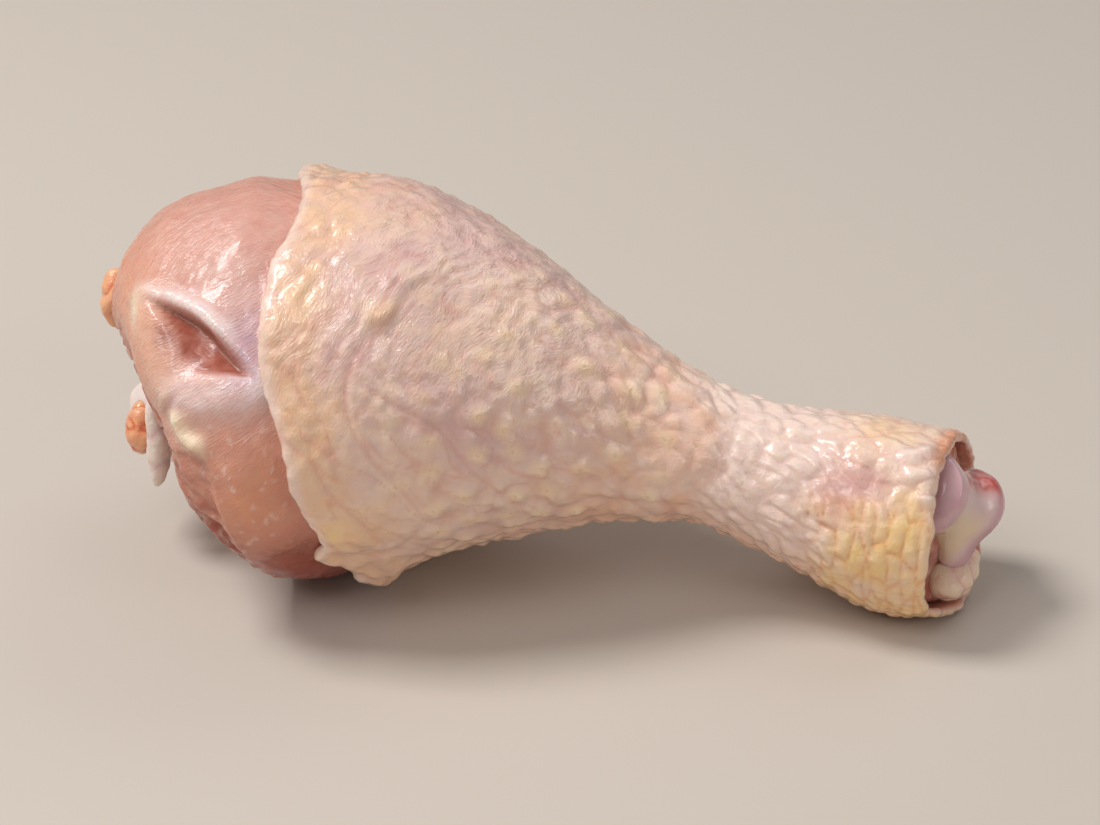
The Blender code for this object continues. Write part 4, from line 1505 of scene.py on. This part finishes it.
@dataclass
class Bone:
    """The shin bone: gristly knee head, thin shaft, and the ankle's pulley with its two knuckles."""

    form: LegForm
    columns: int = 120
    cap_rows: int = 60
    shaft_rows: int = 70
    line: tuple[tuple[float, float, float, float], ...] = (
        (7.0, 2.8, 19.6, 4.6), (8.8, 2.7, 19.6, 6.8), (12.0, 2.4, 19.6, 7.8), (17.5, 1.9, 20.6, 6.6),
        (25.0, 1.4, 21.6, 4.4), (60.0, 0.6, 22.8, 3.5), (88.0, 0.2, 21.6, 3.5), (106.0, 0.0, 19.0, 4.0),
        (117.0, -0.4, 18.6, 4.6), (123.0, -0.5, 18.6, 4.4))
    knee_middle: tuple[float, float, float] = (11.5, 2.4, 19.6)
    pulley_middle: tuple[float, float, float] = (127.3, -0.4, 18.7)
    pulley_axis: tuple[float, float, float] = (0.48, 0.62, -0.62)
    knuckle_apart: float = 8.8
    near_radii: tuple[float, float] = (3.9, 6.4)
    far_radii: tuple[float, float] = (5.6, 5.2)
    far_shift: tuple[float, float, float] = (0.9, 0.2, 0.4)
    heel: tuple[tuple[float, ...], tuple[float, ...]] = ((127.6, -0.8, 17.0, 3.0), (128.4, -1.6, 10.6, 3.0))
    knuckle_round: float = 2.3
    groove_radius: float = 4.3
    blend: float = 1.3

    def _pulley_places(self, points: Array) -> tuple[Array, Array, Array]:
        """Where points lie from the ankle's pulley.

        Args:
            points: Places in leg millimetres.

        Returns:
            Distances from its middle: along its axis, ahead along the leg, and up square to both.
        """
        axis = np.array(self.pulley_axis) / np.linalg.norm(self.pulley_axis)
        up = np.cross(axis, [-1.0, 0.0, 0.0])
        up /= np.linalg.norm(up)
        ahead = np.cross(up, axis)
        away = points - np.array(self.pulley_middle)
        return away @ axis, away @ ahead, away @ up

    def _depth(self, points: Array) -> Array:
        """Signed distance to the bone: below 0 inside.

        Each stretch of the line is a cone with round ends. The knuckles are discs with a round rim, the
        groove a cylinder between them, and all are joined by the soft minimum -b ln(sum exp(-d / b)).

        Args:
            points: Places in leg millimetres.

        Returns:
            The distance, a little smaller than the true one where parts join.
        """
        stretches = zip(self.line, self.line[1:])
        solids = [np.minimum.reduce([cone_gap(points, start, stop) for start, stop in stretches])]
        for side, radii in ((-1, self.near_radii), (1, self.far_radii)):
            shift = np.array(self.far_shift) if side > 0 else np.zeros(3)
            height, ahead, up = self._pulley_places(points - shift)
            beside = height - side * self.knuckle_apart / 2
            core = [radius - self.knuckle_round for radius in radii]
            out = np.hypot(ahead / core[0], up / core[1])
            rim = np.maximum(out - 1.0, 0.0) * np.hypot(ahead, up) / np.maximum(out, 1e-6)
            solids.append(np.hypot(rim, beside) - self.knuckle_round)
        height, ahead, up = self._pulley_places(points)
        solids.append(np.maximum(np.hypot(ahead, up) - self.groove_radius,
                                 np.abs(height) - self.knuckle_apart / 2))
        solids.append(cone_gap(points, *self.heel))
        return -self.blend * np.log(sum(np.exp(-solid / self.blend) for solid in solids)) + 0.25

    def _rays(self) -> tuple[Array, Array]:
        """Rays that leave the bone's middle line all round it.

        Returns:
            Origins that slide from the knee head to the pulley, and directions that swing from -X to +X.
        """
        knee, pulley = np.array(self.knee_middle), np.array(self.pulley_middle)
        swing_in = np.linspace(0.02, math.pi / 2, self.cap_rows)
        swing_out = np.linspace(math.pi / 2, math.pi - 0.02, self.cap_rows)
        share = np.linspace(0, 1, self.shaft_rows + 2)[1:-1]
        swing = np.concatenate([swing_in, np.full(self.shaft_rows, math.pi / 2), swing_out])
        place = np.concatenate([np.zeros(self.cap_rows), share, np.ones(self.cap_rows)])
        between = [p[:3] for p in self.line if 14 < p[0] < 125]
        line = np.array([self.knee_middle, *between, self.pulley_middle])
        reach = (line[:, 0] - knee[0]) / (pulley[0] - knee[0])
        origin = np.stack([np.interp(place, reach, line[:, axis]) for axis in range(3)], -1)
        turn = np.arange(self.columns) * 2 * math.pi / self.columns
        forward = np.broadcast_to(-np.cos(swing)[:, None], (len(swing), self.columns))
        sideways = np.sin(swing)[:, None]
        direction = np.stack([forward, -sideways * np.cos(turn), sideways * np.sin(turn)], -1)
        return np.broadcast_to(origin[:, None, :], direction.shape), direction

    def build(self, placing: Placing, effects: SharedEffects) -> bpy.types.Object:
        """Builds, dresses and mounts the bone.

        Args:
            placing: Where the frame has the leg.
            effects: The shared node groups.

        Returns:
            The finished object.
        """
        origins, directions = self._rays()
        surface = Surface(ray_surface(origins, directions, self._depth, 16.0), Closing.CAPPED)
        p = surface.points
        knee = smooth_step(p[..., 0], 14.0, 9.0)
        surface.raise_by((0.12 + 0.7 * knee) * waves(p, 4.0, 141) + 0.04 * waves(p, 1.6, 142))
        height, _, up = self._pulley_places(p)
        ankle = smooth_step(p[..., 0], 112.0, 120.0)
        near = smooth_step(height, -2.0, -3.4) * ankle
        far = smooth_step(height, 3.0, 4.6) * ankle
        patch = waves(p, 4.5, 143)
        surface.marks = {
            "lilac": np.clip(0.8 * near + far * (0.7 + 0.3 * smooth_step(up, 4.0, 0.0)), 0, 1),
            "cream": ankle * (1 - near) * smooth_step(up, -1.2, -4.2) * (1 - smooth_step(height, 1.5, 4.0)),
            "red": np.clip(ankle * (1 - near) * (0.8 + 0.6 * patch)
                           * smooth_step(up, -0.5, 2.5) * (1 - smooth_step(height, 3.5, 6.5)), 0, 1),
            "pale": (1 - ankle) * (0.8 + 0.2 * patch),
        }
        made = surface.to_object("shin_bone", placing, GRISTLE_FINISH.build(effects))
        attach(made, BODY)
        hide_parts("bone")
        return made


@dataclass
class Lump:
    """A small soft piece: an ellipsoid that bends, with folds and waves on it."""

    name: str
    node: str
    slot: str
    finish: MoistFinish
    centre: tuple[float, float, float]
    half_size: tuple[float, float, float]
    fold_size: float = 3.0
    fold_height: float = 0.5
    bend: tuple[float, float] = (0.0, 0.0)
    seed: int = 1
    rows: int = 72
    columns: int = 96

    def build(self, placing: Placing, effects: SharedEffects) -> bpy.types.Object:
        """Builds, dresses and mounts the lump.

        A point is centre + half_size * (sin a cos b, sin a sin b, cos a), bent sideways by the square of
        its height, and raised by billowed waves.

        Args:
            placing: Where the frame has the leg.
            effects: The shared node groups.

        Returns:
            The finished object.
        """
        fall = np.linspace(0.03, math.pi - 0.03, self.rows)[:, None]
        spin = (np.arange(self.columns) * 2 * math.pi / self.columns)[None, :]
        unit = np.stack([np.sin(fall) * np.cos(spin), np.sin(fall) * np.sin(spin),
                         np.cos(fall) + 0 * spin], -1)
        points = np.array(self.centre) + unit * np.array(self.half_size)
        points[..., 0] += self.bend[0] * unit[..., 2] ** 2
        points[..., 1] += self.bend[1] * unit[..., 2] ** 2
        surface = Surface(points, Closing.CAPPED)
        folds = np.abs(waves(points, self.fold_size, 150 + self.seed))
        surface.raise_by(self.fold_height * (folds - 0.3) + 0.12 * waves(points, 1.3, 170 + self.seed))
        surface.points = settle_on_table(surface.points, 0.4)
        patch = waves(points, 2.2, 190 + self.seed)
        surface.marks = {
            "cream": smooth_step(folds, 0.15, 0.5),
            "pink": np.clip(smooth_step(folds, 0.2, 0.02) + 0.5 * smooth_step(patch, 0.1, 0.6), 0, 1),
            "red": np.clip(smooth_step(folds, 0.15, 0.0) + 0.6 * smooth_step(patch, 0.0, 0.6), 0, 1)}
        made = surface.to_object(self.name, placing, self.finish.build(effects))
        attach(made, BODY)
        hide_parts(self.node)
        return made


def small_pieces() -> list[Lump]:
    """The ankle's pad, the knee's ligament and the two bits of knee fat."""
    return [
        Lump("ankle_pad", "ankle_tendon", "tendon", PAD_FINISH, (127.8, 0.4, 6.2), (4.8, 7.0, 3.7),
             fold_size=4.6, fold_height=0.8, seed=1),
        Lump("knee_cord", "knee_ligament", "tendon", SINEW_FINISH, (9.0, -6.0, 19.6), (1.8, 2.2, 7.6),
             fold_size=7.0, fold_height=0.35, bend=(-0.8, -0.3), seed=2),
        Lump("upper_fat", "knee_fat_upper", "fat", KNEE_FAT_FINISH, (3.2, -1.4, 40.9), (2.7, 3.8, 4.6),
             fold_size=3.4, fold_height=1.1, seed=3),
        Lump("lower_fat", "knee_fat_lower", "fat", KNEE_FAT_FINISH, (4.9, -1.6, 19.0), (2.6, 3.8, 4.1),
             fold_size=3.6, fold_height=0.8, seed=4),
    ]


# -------------------------------------------------------------------------------------------- studio


@dataclass(frozen=True)
class Lamp:
    """A square soft light that faces the leg."""

    name: str
    place: tuple[float, float, float]
    size: float
    power: float
    colour: Colour = (1.0, 0.99, 0.98)

    def hang(self, aim: Vector) -> None:
        """Puts the light in its place and turns it to its aim.

        Args:
            aim: The point it faces.
        """
        lamp = bpy.data.lights.new(self.name, "AREA")
        lamp.shape = "SQUARE"
        lamp.size = self.size
        lamp.energy = self.power
        lamp.color = self.colour
        held = bpy.data.objects.new(self.name, lamp)
        held.location = self.place
        held.rotation_euler = (aim - held.location).to_track_quat("-Z", "Y").to_euler()
        bpy.context.scene.collection.objects.link(held)


@dataclass
class Studio:
    """A plain pale floor, a large soft light from the upper left, soft fill, and the camera."""

    placing: Placing
    floor_half: float = 1.6
    floor_colour: tuple[int, int, int] = (201, 191, 181)
    lamps: tuple[Lamp, ...] = (
        Lamp("key", (-0.47, -0.03, 0.81), 0.28, 5.85),
        Lamp("back", (0.35, 0.50, 0.80), 0.5, 1.1),
        Lamp("right", (0.80, -0.45, 0.55), 0.4, 1.2, (1.0, 0.98, 0.96)),
        Lamp("front", (-0.30, -0.55, 0.80), 0.5, 2.25))
    lamps_aim: tuple[float, float, float] = (0.0, 0.0, 0.025)
    sky: tuple[int, int, int] = (246, 242, 238)
    sky_strength: float = 0.26
    view_turn: float = 10.0
    view_rise: float = 30.0
    lens: float = 90.0
    view_distance: float = 408.3
    look_at: tuple[float, float, float] = (67.9, 0.0, 27.1)

    def _floor(self) -> None:
        """A flat square floor just under the leg."""
        half, table = self.floor_half, self.placing.table
        corners = [(-half, -half, table), (half, -half, table), (half, half, table), (-half, half, table)]
        mesh = bpy.data.meshes.new("floor")
        mesh.from_pydata(corners, [], [(0, 1, 2, 3)])
        look = bpy.data.materials.new("pale floor")
        look.use_nodes = True
        shader = look.node_tree.nodes["Principled BSDF"]
        shader.inputs["Base Color"].default_value = from_srgb(*self.floor_colour)
        shader.inputs["Roughness"].default_value = 0.7
        shader.inputs["Specular IOR Level"].default_value = 0.2
        mesh.materials.append(look)
        floor = bpy.data.objects.new("floor", mesh)
        bpy.context.scene.collection.objects.link(floor)

    def _camera(self) -> None:
        """The camera, at the viewing angle."""
        aim = Vector(self.placing.to_frame(np.array(self.look_at)))
        turn, rise = math.radians(self.view_turn), math.radians(self.view_rise)
        back = Vector((math.sin(turn) * math.cos(rise), -math.cos(turn) * math.cos(rise), math.sin(rise)))
        eye = bpy.data.cameras.new("camera")
        eye.lens = self.lens
        eye.sensor_width = 36.0
        eye.clip_start = 0.01
        held = bpy.data.objects.new("camera", eye)
        held.location = aim + back * self.view_distance * self.placing.unit
        held.rotation_euler = back.to_track_quat("Z", "Y").to_euler()
        bpy.context.scene.collection.objects.link(held)
        bpy.context.scene.camera = held

    def build(self) -> None:
        """Sets up the floor, lights, world and camera."""
        self._floor()
        for lamp in self.lamps:
            lamp.hang(Vector(self.lamps_aim))
        world = bpy.data.worlds.new("soft room")
        world.use_nodes = True
        air = world.node_tree.nodes["Background"]
        air.inputs["Color"].default_value = from_srgb(*self.sky)
        air.inputs["Strength"].default_value = self.sky_strength
        bpy.context.scene.world = world
        bpy.context.scene.view_settings.view_transform = "Standard"
        self._camera()


def main() -> None:
    """Builds every piece of the drumstick and its studio."""
    logging.basicConfig(level=logging.INFO, format="%(message)s")
    form = LegForm()
    placing = Placing.from_frame(form)
    effects = SharedEffects.build()
    pieces = [Skin(form), Muscle(form), Bone(form), *small_pieces()]
    for piece in pieces:
        made = piece.build(placing, effects)
        log.info("%s: %d faces", made.name, len(made.data.polygons))
    Studio(placing).build()


if __name__ == "__main__":
    main()
